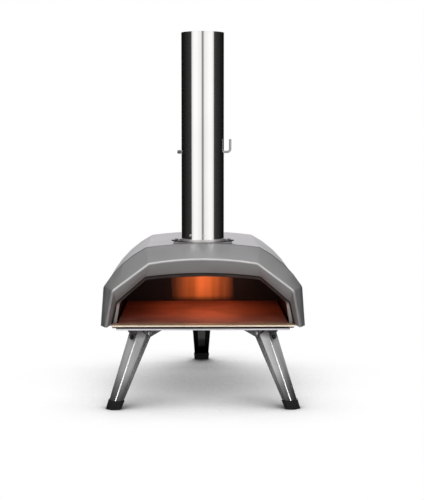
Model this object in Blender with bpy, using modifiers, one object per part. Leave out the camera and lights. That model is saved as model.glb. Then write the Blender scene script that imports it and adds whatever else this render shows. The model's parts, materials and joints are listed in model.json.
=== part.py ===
"""Portable pizza oven: a sheet-metal tunnel on three folding legs, with a chimney and a rear firebox.

Metres, +Z up. The mouth looks along -Y, and the floor that the feet stand on is z = 0.
"""

import math

import bmesh
import bpy
import numpy as np
from mathutils import Matrix, Vector

# Driving dimensions of the whole oven
BODY_HALF_WIDTH = 0.2065
BASE_Z = 0.160
SHEET = 0.0012
SEAT = 0.0003
OVERRUN = 0.010
ROUND_STEPS = 40
SMALL_STEPS = 14
SHARP_ANGLE = math.radians(35)
UPRIGHT = (math.radians(90), 0.0, 0.0)

# Nose: depth of its three edges behind the front ridge, and the arched sections there.
# Each inset is taken from the half width of the body.
NOSE_DEPTH = 0.060
NOSE_INNER_DEPTH = 0.020
NOSE_RETURN = 0.002
NOSE_WALL = 0.003
NOSE_CREST = 0.0024
NOSE_CREST_SET = 0.0014
CORNER_RADIUS = 0.012
CORNER_STEPS = 3
SHOULDER_STEPS = 4
CROWN_STEPS = 4

REAR_BOTTOM_Z = 0.163
REAR_SHOULDER_INSET = 0.0060
REAR_SHOULDER_HALF = BODY_HALF_WIDTH - REAR_SHOULDER_INSET
REAR_SHOULDER_Z = 0.242
REAR_CORNER_INSET = 0.0925
REAR_CORNER_HALF = BODY_HALF_WIDTH - REAR_CORNER_INSET
REAR_CORNER_Z = 0.3224
REAR_CROWN_Z = 0.330
REAR_BULGE = 0.0080

RIDGE_BOTTOM_INSET = 0.0140
RIDGE_BOTTOM_HALF = BODY_HALF_WIDTH - RIDGE_BOTTOM_INSET
RIDGE_BOTTOM_Z = 0.168
RIDGE_SHOULDER_INSET = 0.0281
RIDGE_SHOULDER_HALF = BODY_HALF_WIDTH - RIDGE_SHOULDER_INSET
RIDGE_SHOULDER_Z = 0.2405
RIDGE_CORNER_INSET = 0.0995
RIDGE_CORNER_HALF = BODY_HALF_WIDTH - RIDGE_CORNER_INSET
RIDGE_CORNER_Z = 0.294
RIDGE_CROWN_Z = 0.303

INNER_BOTTOM_INSET = 0.0231
INNER_BOTTOM_HALF = BODY_HALF_WIDTH - INNER_BOTTOM_INSET
INNER_BOTTOM_Z = 0.171
INNER_SHOULDER_INSET = 0.0329
INNER_SHOULDER_HALF = BODY_HALF_WIDTH - INNER_SHOULDER_INSET
INNER_SHOULDER_Z = 0.216
INNER_CORNER_INSET = 0.0925
INNER_CORNER_HALF = BODY_HALF_WIDTH - INNER_CORNER_INSET
INNER_CORNER_Z = 0.2672
INNER_CROWN_Z = 0.2745

# Mouth: the frame strip between the nose and the baking chamber
MOUTH_BOTTOM_INSET = 0.0334
MOUTH_BOTTOM_HALF = BODY_HALF_WIDTH - MOUTH_BOTTOM_INSET
MOUTH_BOTTOM_Z = 0.170
MOUTH_SHOULDER_INSET = 0.0401
MOUTH_SHOULDER_HALF = BODY_HALF_WIDTH - MOUTH_SHOULDER_INSET
MOUTH_SHOULDER_Z = 0.213
MOUTH_CORNER_INSET = 0.0928
MOUTH_CORNER_HALF = BODY_HALF_WIDTH - MOUTH_CORNER_INSET
MOUTH_CORNER_Z = 0.2592
MOUTH_CROWN_Z = 0.266
MOUTH_FLANGE = 0.006
MOUTH_FUNNEL = 0.0085
MOUTH_TUBE = 0.006

# Casing
CASING_STEP = 0.002
CASING_END = 0.400
CASING_FOOT_Z = 0.1632
CASING_FLANGE = 0.025
CASING_REAR_FLANGE = 0.008
PANEL_SCREW_INSET = 0.006
PANEL_SCREW_SHARE = 0.3
BLANKET = 0.020
BLANKET_SETBACK = 0.004

# Base pan, stone tray, threshold, stone and baffle
PAN_INSET = 0.0345
PAN_HALF = BODY_HALF_WIDTH - PAN_INSET
PAN_FRONT = 0.015
PAN_FRONT_TOP_Z = 0.165
PAN_WING_REACH = 0.0275
TRAY_SIDE_GAP = 0.0004
TRAY_SETBACK = 0.0088
TRAY_UPSTAND_Z = 0.1715
TRAY_END_GAP = 0.004
LIP_INSET = 0.0255
LIP_HALF = BODY_HALF_WIDTH - LIP_INSET
LIP_TOP_Z = 0.1733
LIP_NOSE = 0.0038
LIP_DROP = 0.0017
LIP_RADIUS = 0.0018
LIP_RETURN = 0.006
LIP_LEG_Z = 0.1634
STONE_SPACE = 0.003
STONE_HALF = PAN_HALF - STONE_SPACE / 2
STONE_THICKNESS = 0.0105
STONE_EDGE = 0.0015
STONE_END_GAP = 0.0017
BAFFLE_INSET = 0.032
BAFFLE_AT = CASING_END - BAFFLE_INSET
BAFFLE_TOP_Z = 0.240
BAFFLE_LIP = 0.010
BAFFLE_FOOT = 0.016
BAFFLE_SIDE_GAP = 0.0008

# Rear panel
PORT_HALF = 0.100
PORT_SILL_Z = 0.178
PORT_HEAD_Z = 0.260
PANEL_FOOT_Z = 0.1603

# Firebox
FIREBOX_HALF = 0.115
FIREBOX_TOP_Z = 0.285
FIREBOX_CHAMFER = 0.020
FIREBOX_DEPTH = 0.175
FIREBOX_FLANGE = 0.012
FIREBOX_FLOOR_RIM = 0.009

# Hatch on the firebox
HATCH_HALF = 0.080
HATCH_LENGTH = 0.100
HATCH_HEIGHT = 0.008
HATCH_OVERLAP = 0.006
HATCH_FROM_PANEL = 0.040
HINGE_GAP = 0.006
HINGE_PIN_RADIUS = 0.002
HINGE_EYE_RADIUS = 0.0044
HINGE_EYE_HALF = 0.034
HINGE_LUG = 0.003
HINGE_LUG_GAP = 0.0006
HINGE_FOOT = 0.012
HINGE_HEAD = 0.0015

# Fuel tray and grate
DRAWER_HALF = 0.104
DRAWER_SET = 0.012
DRAWER_HEIGHT = 0.020
DRAWER_CLEARANCE = 0.002
DRAWER_FACE_HALF = 0.112
DRAWER_FACE_TOP_Z = 0.206
DRAWER_PORT_TOP_Z = 0.200
VENT_RADIUS = 0.006
VENT_PITCH = 0.028
VENT_COUNT = 5
VENT_SHARE = 0.82
GRATE_HALF = 0.100
GRATE_SET = 0.008
GRATE_LENGTH = 0.140
GRATE_TOP_Z = 0.192
GRATE_ROWS = 2
GRATE_SLOTS = 8
GRATE_BAR = 0.009
GRATE_RIM = 0.010

# Bar handles on the drawer and the hatch
BAR_RADIUS = 0.004
BAR_BEND = 0.008
BAR_FOOT = 0.007
BAR_FOOT_HEIGHT = 0.002
DRAWER_BAR_HALF = 0.045
DRAWER_BAR_REACH = 0.045
DRAWER_BAR_Z = 0.188
HATCH_BAR_HALF = 0.035
HATCH_BAR_REACH = 0.016
HATCH_BAR_SET = 0.024

# Chimney
FLUE_AT = 0.112
FLUE_RADIUS = 0.0436
FLUE_WALL = 0.001
FLUE_TOP_Z = 0.753
FLANGE_LIFT = 0.0005
FLANGE_Z = REAR_CROWN_Z + FLANGE_LIFT
FLANGE_PLATE = 0.0022
FLANGE_EAR_REACH = 0.0555
FLANGE_EAR_RADIUS = 0.0085
FLANGE_HUB = 0.0499
COLLAR_WALL = 0.0040
COLLAR_TOP_Z = 0.3358
SPIGOT_GAP = 0.0004
SPIGOT_WALL = 0.0012
SPIGOT_TOP_Z = 0.358
THROAT_HOLE_GAP = 0.0005
FLANGE_SCREW_AT = 0.0539
SCREW_RADIUS = 0.0018
SCREW_HOLE_GAP = 0.0003
SCREW_HEAD_RADIUS = 0.0040
SCREW_HEAD_HEIGHT = 0.0022
HEAD_SHARE = 0.72
GASKET_INSET = 0.004
LOCK_PIN_RADIUS = 0.0020
LOCK_PIN_REACH = 0.0016
LOCK_PIN_Z = 0.3445
LOCK_NOTCH_GAP = 0.0006
LOCK_ANGLES = (math.radians(-88), math.radians(-125))

# Butterfly damper
DAMPER_Z = 0.5125
DAMPER_ROD_RADIUS = 0.0025
DAMPER_HOLE_GAP = 0.0003
DAMPER_RADIUS = 0.0413
DAMPER_PLATE = 0.001
DAMPER_ARM_AT = 0.056
DAMPER_ARM_TOP_Z = 0.5385
DAMPER_BEND = 0.006
DAMPER_END = 0.0479
CAP_NUT_RADIUS = 0.0042
CAP_NUT_LENGTH = 0.0070
DAMPER_SCREW_SPREAD = 0.020

# Legs: one channel design, folded about a bolt under the base
LEG_PIVOT_DROP = 0.013
LEG_PIVOT_Z = BASE_Z - LEG_PIVOT_DROP
LEG_TILT = math.radians(28.3)
LEG_LENGTH = LEG_PIVOT_Z / math.cos(LEG_TILT)
LEG_SHEET = 0.0015
LEG_HEADROOM = 0.0014
LEG_TOP_WEB = 0.023
LEG_TOP_BEVEL = 0.0135
LEG_TOP_FLANGE = 0.012
LEG_TOP_RISE = 0.0165
LEG_END_WEB = 0.016
LEG_END_BEVEL = 0.0077
LEG_END_FLANGE = 0.0056
LEG_END_RISE = 0.0080
FRONT_LEG_INSET = 0.0775
FRONT_LEG_HALF = BODY_HALF_WIDTH - FRONT_LEG_INSET
FRONT_LEG_AT = 0.082
FRONT_LEG_TURN = math.radians(42)
REAR_LEG_AT = 0.511

BRACKET_SHEET = 0.002
BRACKET_GAP = 0.0012
BRACKET_OUTER = 0.020
BRACKET_INNER = 0.062
BRACKET_TIP = 0.009
BRACKET_TIP_RADIUS = 0.006
BRACKET_BRIDGE = 0.012
BOLT_RADIUS = 0.0025
BOLT_HEAD_RADIUS = 0.0050
BOLT_HEAD = 0.0025
RIVET_RADIUS = 0.002
RIVET_HEAD_RADIUS = 0.0038
RIVET_HEAD = 0.001
RIVET_INSET = 0.009

BOOT_TOP_Z = 0.0170
BOOT_WALL = 0.0015
BOOT_SOLE = 0.0080

BUTTON_AT = 0.018
BUTTON_LENGTH = 0.010
BUTTON_WIDTH = 0.008
BUTTON_PROUD = 0.0016
BUTTON_TRAVEL = 0.003
BUTTON_STEM = 0.004
BUTTON_COLLAR = 0.0015
BUTTON_COLLAR_THICKNESS = 0.001
BUTTON_SPARE_SHARE = 0.35

# Lengthwise stations behind the front ridge, and the whole depth
CASING_START = NOSE_DEPTH + SEAT
PANEL_BACK = CASING_END + SEAT + SHEET
FIREBOX_START = PANEL_BACK + SEAT
FIREBOX_END = FIREBOX_START + FIREBOX_DEPTH
FACE_START = FIREBOX_END + SEAT
OVERALL_DEPTH = FACE_START + SHEET + SEAT + DRAWER_BAR_REACH + BAR_RADIUS


def behind(depth):
    """World y of a station that lies this far behind the nose's front ridge."""
    return depth - OVERALL_DEPTH / 2


# Outlines: (x, z) points of the arched sections, from the right foot over the crown to the left foot


def arc_points(start, end, sagitta, steps):
    """Points from start to end on an arc that bulges outwards by the sagitta, or on a straight line."""
    start, end = np.array(start), np.array(end)
    chord = end - start
    length = float(np.hypot(*chord))
    along = chord / length
    out = np.array((along[1], -along[0]))
    points = []
    for step in range(steps + 1):
        share = step / steps
        base = start + chord * share
        if sagitta:
            radius = (length**2 / 4 + sagitta**2) / (2 * sagitta)
            across = (share - 0.5) * length
            base = base + out * (math.sqrt(radius**2 - across**2) - radius + sagitta)
        points.append(tuple(base))
    return points


def crown_points(corner, crown_z, steps):
    """Points from the corner to the middle of a shallow round top, level at the middle."""
    half, corner_z = corner
    rise = crown_z - corner_z
    radius = (half**2 + rise**2) / (2 * rise)
    span = math.asin(half / radius)
    centre_z = crown_z - radius
    turns = [span * (1 - step / steps) for step in range(steps + 1)]
    return [(radius * math.sin(turn), centre_z + radius * math.cos(turn)) for turn in turns]


def softened(path, index, radius, steps):
    """The path with the corner at index replaced by an arc that is tangent to both sides."""
    before, corner, after = (np.array(path[at]) for at in (index - 1, index, index + 1))
    to_before = (before - corner) / np.hypot(*(before - corner))
    to_after = (after - corner) / np.hypot(*(after - corner))
    half_angle = math.acos(float(np.dot(to_before, to_after))) / 2
    bisector = (to_before + to_after) / np.hypot(*(to_before + to_after))
    centre = corner + bisector * radius / math.sin(half_angle)
    start = corner + to_before * radius / math.tan(half_angle) - centre
    end = corner + to_after * radius / math.tan(half_angle) - centre
    swing = math.acos(float(np.dot(start, end)) / radius**2)
    arc = []
    for step in range(steps + 1):
        share = step / steps
        blend = start * math.sin((1 - share) * swing) + end * math.sin(share * swing)
        arc.append(tuple(centre + blend / math.sin(swing)))
    return path[:index] + arc + path[index + 1 :]


def arch(bottom, shoulder, corner, crown_z, bulge=0.0):
    """A whole arched section: straight sides, a shoulder run that may bulge, and a round top."""
    half = [bottom] + arc_points(shoulder, corner, bulge, SHOULDER_STEPS)
    half += crown_points(corner, crown_z, CROWN_STEPS)[1:]
    half = softened(half, 1 + SHOULDER_STEPS, CORNER_RADIUS, CORNER_STEPS)
    half = softened(half, 1, CORNER_RADIUS, CORNER_STEPS)
    return half + [(-x, z) for x, z in reversed(half[:-1])]


def grown(path, distance):
    """The path moved outwards by the distance, square to its runs, with mitred corners."""
    points = [np.array(point) for point in path]
    normals = []
    for start, end in zip(points, points[1:]):
        run = (end - start) / np.hypot(*(end - start))
        normals.append(np.array((run[1], -run[0])))
    moved = [points[0] + normals[0] * distance]
    for point, before, after in zip(points[1:-1], normals, normals[1:]):
        moved.append(point + (before + after) / (1 + np.dot(before, after)) * distance)
    moved.append(points[-1] + normals[-1] * distance)
    return [tuple(point) for point in moved]


def footed(path, foot_z):
    """The path with both ends run along their own sides to the height foot_z."""
    ends = []
    for (x, z), (next_x, next_z) in ((path[0], path[1]), (path[-1], path[-2])):
        share = (foot_z - z) / (next_z - z)
        ends.append((x + (next_x - x) * share, foot_z))
    return [ends[0]] + path[1:-1] + [ends[1]]


NOSE_REAR = arch(
    (BODY_HALF_WIDTH, REAR_BOTTOM_Z),
    (REAR_SHOULDER_HALF, REAR_SHOULDER_Z),
    (REAR_CORNER_HALF, REAR_CORNER_Z),
    REAR_CROWN_Z,
    REAR_BULGE,
)
NOSE_RIDGE = arch(
    (RIDGE_BOTTOM_HALF, RIDGE_BOTTOM_Z),
    (RIDGE_SHOULDER_HALF, RIDGE_SHOULDER_Z),
    (RIDGE_CORNER_HALF, RIDGE_CORNER_Z),
    RIDGE_CROWN_Z,
)
NOSE_INNER = arch(
    (INNER_BOTTOM_HALF, INNER_BOTTOM_Z),
    (INNER_SHOULDER_HALF, INNER_SHOULDER_Z),
    (INNER_CORNER_HALF, INNER_CORNER_Z),
    INNER_CROWN_Z,
)
MOUTH = arch(
    (MOUTH_BOTTOM_HALF, MOUTH_BOTTOM_Z),
    (MOUTH_SHOULDER_HALF, MOUTH_SHOULDER_Z),
    (MOUTH_CORNER_HALF, MOUTH_CORNER_Z),
    MOUTH_CROWN_Z,
)
CASING = grown(NOSE_REAR, -CASING_STEP)
LINER = grown(MOUTH, SHEET + SEAT)


# Blender helpers


def clear_scene():
    """Removes whatever the file holds, so that a rerun starts clean."""
    for obj in list(bpy.data.objects):
        bpy.data.objects.remove(obj, do_unlink=True)


def finish(name, colour, roughness, metallic):
    """A Principled BSDF material."""
    material = bpy.data.materials.new(name)
    material.use_nodes = True
    shader = material.node_tree.nodes["Principled BSDF"]
    shader.inputs["Base Color"].default_value = (*colour, 1.0)
    shader.inputs["Roughness"].default_value = roughness
    shader.inputs["Metallic"].default_value = metallic
    material.diffuse_color = (*colour, 1.0)
    return material


def linked(name, mesh, material=None, parent=None):
    """A new object in the oven's collection; without a material it is a cutter or an addition."""
    obj = bpy.data.objects.new(name, mesh)
    if material is None:
        CUTTERS.objects.link(obj)
        obj.hide_render = True
        obj.display_type = "WIRE"
    else:
        OVEN.objects.link(obj)
        mesh.materials.append(material)
    obj.parent = parent
    return obj


def mesh_of(shape, name):
    """A mesh from a bmesh, with smooth sides and sharp edges."""
    mesh = bpy.data.meshes.new(name)
    shape.to_mesh(mesh)
    shape.free()
    mesh.shade_smooth()
    mesh.set_sharp_from_angle(angle=SHARP_ANGLE)
    return mesh


def empty(name, location, rotation=(0.0, 0.0, 0.0), parent=None):
    """An empty that carries a moving piece on its joint's axis."""
    holder = bpy.data.objects.new(name, None)
    OVEN.objects.link(holder)
    holder.location = location
    holder.rotation_euler = rotation
    holder.parent = parent
    return holder


def solidified(obj, thickness, side):
    """Gives an open surface its wall; side -1 lays it behind the faces and +1 in front of them."""
    wall = obj.modifiers.new("wall", "SOLIDIFY")
    wall.thickness = thickness
    wall.offset = side
    wall.use_even_offset = True
    return obj


def boolean(obj, other, operation):
    """Cuts or joins with another object, which then counts as a cutter."""
    change = obj.modifiers.new(operation.lower(), "BOOLEAN")
    change.operation = operation
    change.solver = "EXACT"
    change.object = other
    return obj


def cut(obj, *others):
    for other in others:
        boolean(obj, other, "DIFFERENCE")
    return obj


def joined(obj, *others):
    for other in others:
        boolean(obj, other, "UNION")
    return obj


def wall_loop(name, rows, material=None, parent=None):
    """A solid wall lofted round through rows of 3D points and back to the first, with flat ends."""
    shape = bmesh.new()
    grid = [[shape.verts.new(point) for point in row] for row in rows]
    for row, following in zip(grid, grid[1:] + grid[:1]):
        for at in range(len(row) - 1):
            shape.faces.new((row[at], row[at + 1], following[at + 1], following[at]))
    shape.faces.new([row[0] for row in grid])
    shape.faces.new([row[-1] for row in reversed(grid)])
    bmesh.ops.recalc_face_normals(shape, faces=shape.faces)
    return linked(name, mesh_of(shape, name), material, parent)


def sheet(name, rows, thickness, side, material=None, parent=None):
    """A wall lofted through rows of 3D points, one row after another."""
    shape = bmesh.new()
    grid = [[shape.verts.new(point) for point in row] for row in rows]
    for row, following in zip(grid, grid[1:]):
        for at in range(len(row) - 1):
            shape.faces.new((row[at], row[at + 1], following[at + 1], following[at]))
    obj = linked(name, mesh_of(shape, name), material, parent)
    return solidified(obj, thickness, side)


def tunnel(name, path, start, end, thickness, side, material=None):
    """A wall swept along Y from an (x, z) path."""
    rows = [[(x, behind(depth), z) for x, z in path] for depth in (end, start)]
    return sheet(name, rows, thickness, side, material)


def strip(name, path, half_width, thickness, side, material=None):
    """A wall swept along X from a path of (depth behind the ridge, z) points."""
    rows = [[(x, behind(depth), z) for depth, z in path] for x in (-half_width, half_width)]
    return sheet(name, rows, thickness, side, material)


def box(name, low, high, material=None, parent=None):
    """A cuboid between two corners, given as world or local (x, y, z)."""
    shape = bmesh.new()
    bmesh.ops.create_cube(shape, size=1.0)
    low, high = Vector(low), Vector(high)
    size = high - low
    bmesh.ops.scale(shape, vec=size, verts=shape.verts)
    bmesh.ops.translate(shape, vec=(low + high) / 2, verts=shape.verts)
    return linked(name, mesh_of(shape, name), material, parent)


def bar(name, start, end, radius, material=None, parent=None, end_radius=None, steps=SMALL_STEPS):
    """A round bar, or a cone, between two points."""
    start, end = Vector(start), Vector(end)
    axis = end - start
    turn = axis.to_track_quat("Z", "Y").to_matrix().to_4x4()
    place = Matrix.Translation((start + end) / 2) @ turn
    shape = bmesh.new()
    bmesh.ops.create_cone(
        shape,
        cap_ends=True,
        segments=steps,
        radius1=radius,
        radius2=radius if end_radius is None else end_radius,
        depth=axis.length,
        matrix=place,
    )
    return linked(name, mesh_of(shape, name), material, parent)


def turned(name, profile, centre, material=None, parent=None, steps=ROUND_STEPS):
    """A ring or pot: a closed (radius, z) profile turned about a vertical axis."""
    shape = bmesh.new()
    verts = [shape.verts.new((radius, 0.0, z)) for radius, z in profile]
    for start, end in zip(verts, verts[1:] + verts[:1]):
        shape.edges.new((start, end))
    obj = linked(name, mesh_of(shape, name), material, parent)
    screw = obj.modifiers.new("turn", "SCREW")
    screw.axis = "Z"
    screw.steps = steps
    screw.render_steps = steps
    screw.use_merge_vertices = True
    screw.merge_threshold = 0.00001
    screw.use_smooth_shade = True
    obj.location = centre
    return obj


def mesh_from_curve(curve_object):
    """Turns a curve object into a mesh object of the same name, place and material."""
    bpy.context.view_layer.update()
    graph = bpy.context.evaluated_depsgraph_get()
    mesh = bpy.data.meshes.new_from_object(curve_object.evaluated_get(graph))
    shape = bmesh.new()
    shape.from_mesh(mesh)
    bmesh.ops.remove_doubles(shape, verts=shape.verts, dist=0.000002)
    bmesh.ops.recalc_face_normals(shape, faces=shape.faces)
    shape.to_mesh(mesh)
    shape.free()
    mesh.shade_smooth()
    mesh.set_sharp_from_angle(angle=SHARP_ANGLE)
    solid = bpy.data.objects.new(curve_object.name, mesh)
    for collection in curve_object.users_collection:
        collection.objects.link(solid)
    solid.hide_render = curve_object.hide_render
    solid.display_type = curve_object.display_type
    name = curve_object.name
    solid.parent = curve_object.parent
    solid.matrix_world = curve_object.matrix_world
    bpy.data.objects.remove(curve_object, do_unlink=True)
    solid.name = name
    return solid


def plate(name, outlines, thickness, material=None, parent=None, location=(0.0, 0.0, 0.0), rotation=None):
    """A flat plate: the first outline is its edge and the others are its holes, all in its own xy plane."""
    curve = bpy.data.curves.new(name, "CURVE")
    curve.dimensions = "2D"
    curve.fill_mode = "BOTH"
    curve.extrude = thickness / 2
    for outline in outlines:
        spline = curve.splines.new("POLY")
        spline.points.add(len(outline) - 1)
        for point, (x, y) in zip(spline.points, outline):
            point.co = (x, y, 0.0, 1.0)
        spline.use_cyclic_u = True
    obj = linked(name, curve, material, parent)
    obj.location = location
    obj.rotation_euler = rotation or (0.0, 0.0, 0.0)
    return mesh_from_curve(obj)


def tube(name, points, radius, material=None, parent=None):
    """A bent round wire along 3D points, with filled ends."""
    curve = bpy.data.curves.new(name, "CURVE")
    curve.dimensions = "3D"
    curve.bevel_depth = radius
    curve.bevel_resolution = 3
    curve.use_fill_caps = True
    spline = curve.splines.new("POLY")
    spline.points.add(len(points) - 1)
    for point, place in zip(spline.points, points):
        point.co = (*place, 1.0)
    return mesh_from_curve(linked(name, curve, material, parent))


def rectangle(low, high):
    """The four corners of a rectangle between two (x, y) corners."""
    return [(low[0], low[1]), (high[0], low[1]), (high[0], high[1]), (low[0], high[1])]


def circle(centre, radius, steps=SMALL_STEPS):
    turns = [2 * math.pi * step / steps for step in range(steps)]
    return [(centre[0] + radius * math.cos(turn), centre[1] + radius * math.sin(turn)) for turn in turns]


def slot(centre, length, width, steps=SMALL_STEPS):
    """A round-ended slot along y."""
    radius = width / 2
    reach = (length - width) / 2
    points = []
    for step in range(steps + 1):
        turn = math.pi * step / steps
        points.append((centre[0] + radius * math.cos(turn), centre[1] + reach + radius * math.sin(turn)))
    for step in range(steps + 1):
        turn = math.pi * (1 + step / steps)
        points.append((centre[0] + radius * math.cos(turn), centre[1] - reach + radius * math.sin(turn)))
    return points


def rounded_loop(corners, radius, steps=CORNER_STEPS):
    """A closed outline with every corner rounded."""
    count = len(corners)
    points = []
    for at in range(count):
        trio = [corners[at - 1], corners[at], corners[(at + 1) % count]]
        points += softened(trio, 1, radius, steps)[1:-1]
    return points


clear_scene()
OVEN = bpy.data.collections.new("pizza_oven")
CUTTERS = bpy.data.collections.new("cutters")
bpy.context.scene.collection.children.link(OVEN)
bpy.context.scene.collection.children.link(CUTTERS)

CAST_GREY = finish("cast_grey_steel", (0.34, 0.34, 0.345), 0.42, 1.0)
BRUSHED = finish("brushed_steel", (0.55, 0.54, 0.55), 0.34, 1.0)
POLISHED = finish("polished_steel", (0.70, 0.69, 0.69), 0.16, 1.0)
DARK_STEEL = finish("dark_steel", (0.16, 0.16, 0.165), 0.45, 1.0)
TINTED = finish("heat_tinted_steel", (0.62, 0.36, 0.20), 0.30, 1.0)
STONE = finish("cordierite_stone", (0.34, 0.16, 0.10), 0.85, 0.0)
FELT = finish("ceramic_blanket", (0.80, 0.79, 0.76), 0.95, 0.0)
RUBBER = finish("black_rubber", (0.02, 0.02, 0.022), 0.70, 0.0)
GRIP = finish("black_grip", (0.03, 0.03, 0.032), 0.50, 0.0)
ZINC = finish("zinc_fasteners", (0.60, 0.60, 0.61), 0.30, 1.0)


# Casing, nose and baking chamber


def flue_cutter(name, radius):
    """An upright cutter on the chimney's axis, through the roof of the casing and the chamber."""
    low = (0.0, behind(FLUE_AT), MOUTH_CORNER_Z - OVERRUN)
    high = (0.0, behind(FLUE_AT), FLANGE_Z + OVERRUN)
    return bar(name, low, high, radius, steps=ROUND_STEPS)


def make_casing():
    shell_path = footed(CASING, CASING_FOOT_Z)
    foot = shell_path[0][0] - CASING_FLANGE
    full_path = [(foot, CASING_FOOT_Z)] + shell_path + [(-foot, CASING_FOOT_Z)]
    shell = tunnel("outer_shell", full_path, CASING_START, CASING_END, SHEET, -1, BRUSHED)
    lap = SHEET / 2
    rims = (footed(grown(CASING, -inset), CASING_FOOT_Z + lap) for inset in (lap, CASING_REAR_FLANGE))
    rim_rows = [[(x, behind(CASING_END) - lap, z) for x, z in rim] for rim in rims]
    rim = sheet("shell_rear_rim", rim_rows, SHEET, 1)
    cut(shell, flue_cutter("shell_flue_hole", FLUE_RADIUS - FLUE_WALL - SPIGOT_GAP + THROAT_HOLE_GAP))
    return joined(shell, rim)


def make_nose():
    crest_out = grown(NOSE_RIDGE, NOSE_CREST)
    crest_in = grown(NOSE_RIDGE, -NOSE_CREST)
    stations = (
        (NOSE_REAR, NOSE_DEPTH),
        (NOSE_REAR, NOSE_DEPTH - NOSE_RETURN),
        (crest_out, NOSE_CREST_SET),
        (NOSE_RIDGE, 0.0),
        (crest_in, NOSE_CREST_SET),
        (NOSE_INNER, NOSE_INNER_DEPTH),
        (NOSE_INNER, NOSE_INNER_DEPTH + NOSE_RETURN),
        (grown(NOSE_INNER, NOSE_WALL), NOSE_INNER_DEPTH + NOSE_RETURN),
        (NOSE_RIDGE, 2 * NOSE_WALL),
        (grown(NOSE_REAR, -NOSE_WALL), NOSE_DEPTH - NOSE_RETURN),
        (grown(NOSE_REAR, -NOSE_WALL), NOSE_DEPTH),
    )
    rows = [[(x, behind(depth), z) for x, z in path] for path, depth in stations]
    return wall_loop("nose", rows, CAST_GREY)


def make_mouth_frame():
    start = NOSE_INNER_DEPTH + NOSE_RETURN + SEAT
    stations = (
        (grown(NOSE_INNER, MOUTH_FLANGE), start),
        (NOSE_INNER, start),
        (MOUTH, start + MOUTH_FUNNEL),
        (MOUTH, start + MOUTH_FUNNEL + MOUTH_TUBE),
    )
    rows = [[(x, behind(depth), z) for x, z in path] for path, depth in stations]
    return sheet("mouth_frame", rows, SHEET, -1, CAST_GREY)


def make_liner():
    path = footed(LINER, CASING_FOOT_Z)
    start = NOSE_INNER_DEPTH + NOSE_RETURN + MOUTH_FUNNEL + SHEET + SEAT
    liner = tunnel("chamber_liner", path, start, CASING_END - SEAT, SHEET, 1, TINTED)
    return cut(liner, flue_cutter("liner_flue_hole", FLUE_RADIUS - FLUE_WALL - SPIGOT_GAP + THROAT_HOLE_GAP))


def make_blanket():
    path = footed(grown(LINER, SHEET + SEAT), CASING_FOOT_Z + SHEET + SEAT)
    start = NOSE_DEPTH + BLANKET_SETBACK
    end = CASING_END - SHEET - BLANKET_SETBACK
    blanket = tunnel("insulation_blanket", path, start, end, BLANKET, 1, FELT)
    return cut(blanket, flue_cutter("blanket_flue_hole", FLUE_RADIUS))


# Floor: base pan, stone tray, threshold, stone and baffle


def make_base_pan():
    wing = PAN_HALF + PAN_WING_REACH
    wing_z = CASING_FOOT_Z - SEAT - SHEET
    path = [(-wing, wing_z), (-PAN_HALF, wing_z), (-PAN_HALF, BASE_Z)]
    path += [(-x, z) for x, z in reversed(path)]
    pan = tunnel("base_pan", path, PAN_FRONT + SHEET / 2, CASING_END - SEAT, SHEET, -1, BRUSHED)
    for number, out in enumerate((-1.0, 1.0)):
        near, far = sorted((out * (PAN_HALF + SHEET), out * BODY_HALF_WIDTH))
        notch_low = (near, behind(0.0), wing_z - SHEET)
        notch_high = (far, behind(CASING_START), CASING_FOOT_Z)
        cut(pan, box("wing_notch_%d" % number, notch_low, notch_high))
    front_low = (-PAN_HALF, behind(PAN_FRONT), BASE_Z)
    front_high = (PAN_HALF, behind(PAN_FRONT + SHEET), PAN_FRONT_TOP_Z)
    return joined(pan, box("pan_front_wall", front_low, front_high))


TRAY_Z = BASE_Z + SHEET + SEAT
TRAY_FRONT = PAN_FRONT + TRAY_SETBACK
TRAY_END = CASING_END - TRAY_END_GAP
STONE_FRONT = TRAY_FRONT + SHEET + SEAT
STONE_Z = TRAY_Z + SHEET + SEAT


def make_stone_tray():
    half = PAN_HALF - SHEET - TRAY_SIDE_GAP
    path = [(TRAY_FRONT, TRAY_UPSTAND_Z), (TRAY_FRONT, TRAY_Z), (TRAY_END, TRAY_Z)]
    return strip("stone_tray", path, half, SHEET, -1, DARK_STEEL)


def make_threshold():
    """The rolled lip in front of the stone."""
    back = TRAY_FRONT - SEAT
    nose_z = LIP_TOP_Z - LIP_DROP - LIP_RADIUS
    nose = LIP_NOSE + LIP_RADIUS
    path = [(back, LIP_LEG_Z), (back, LIP_TOP_Z)]
    for step in range(SHOULDER_STEPS + 1):
        turn = math.pi * step / SHOULDER_STEPS
        path.append((nose - LIP_RADIUS * math.sin(turn), nose_z + LIP_RADIUS * math.cos(turn)))
    path.append((nose + LIP_RETURN, nose_z - LIP_RADIUS))
    return strip("threshold_lip", path, LIP_HALF, SHEET, -1, POLISHED)


def make_stone():
    low = (-STONE_HALF, behind(STONE_FRONT), STONE_Z)
    high = (STONE_HALF, behind(BAFFLE_AT - STONE_END_GAP), STONE_Z + STONE_THICKNESS)
    stone = box("baking_stone", low, high, STONE)
    edge = stone.modifiers.new("worn_edge", "BEVEL")
    edge.width = STONE_EDGE
    edge.segments = 2
    return stone


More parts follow.
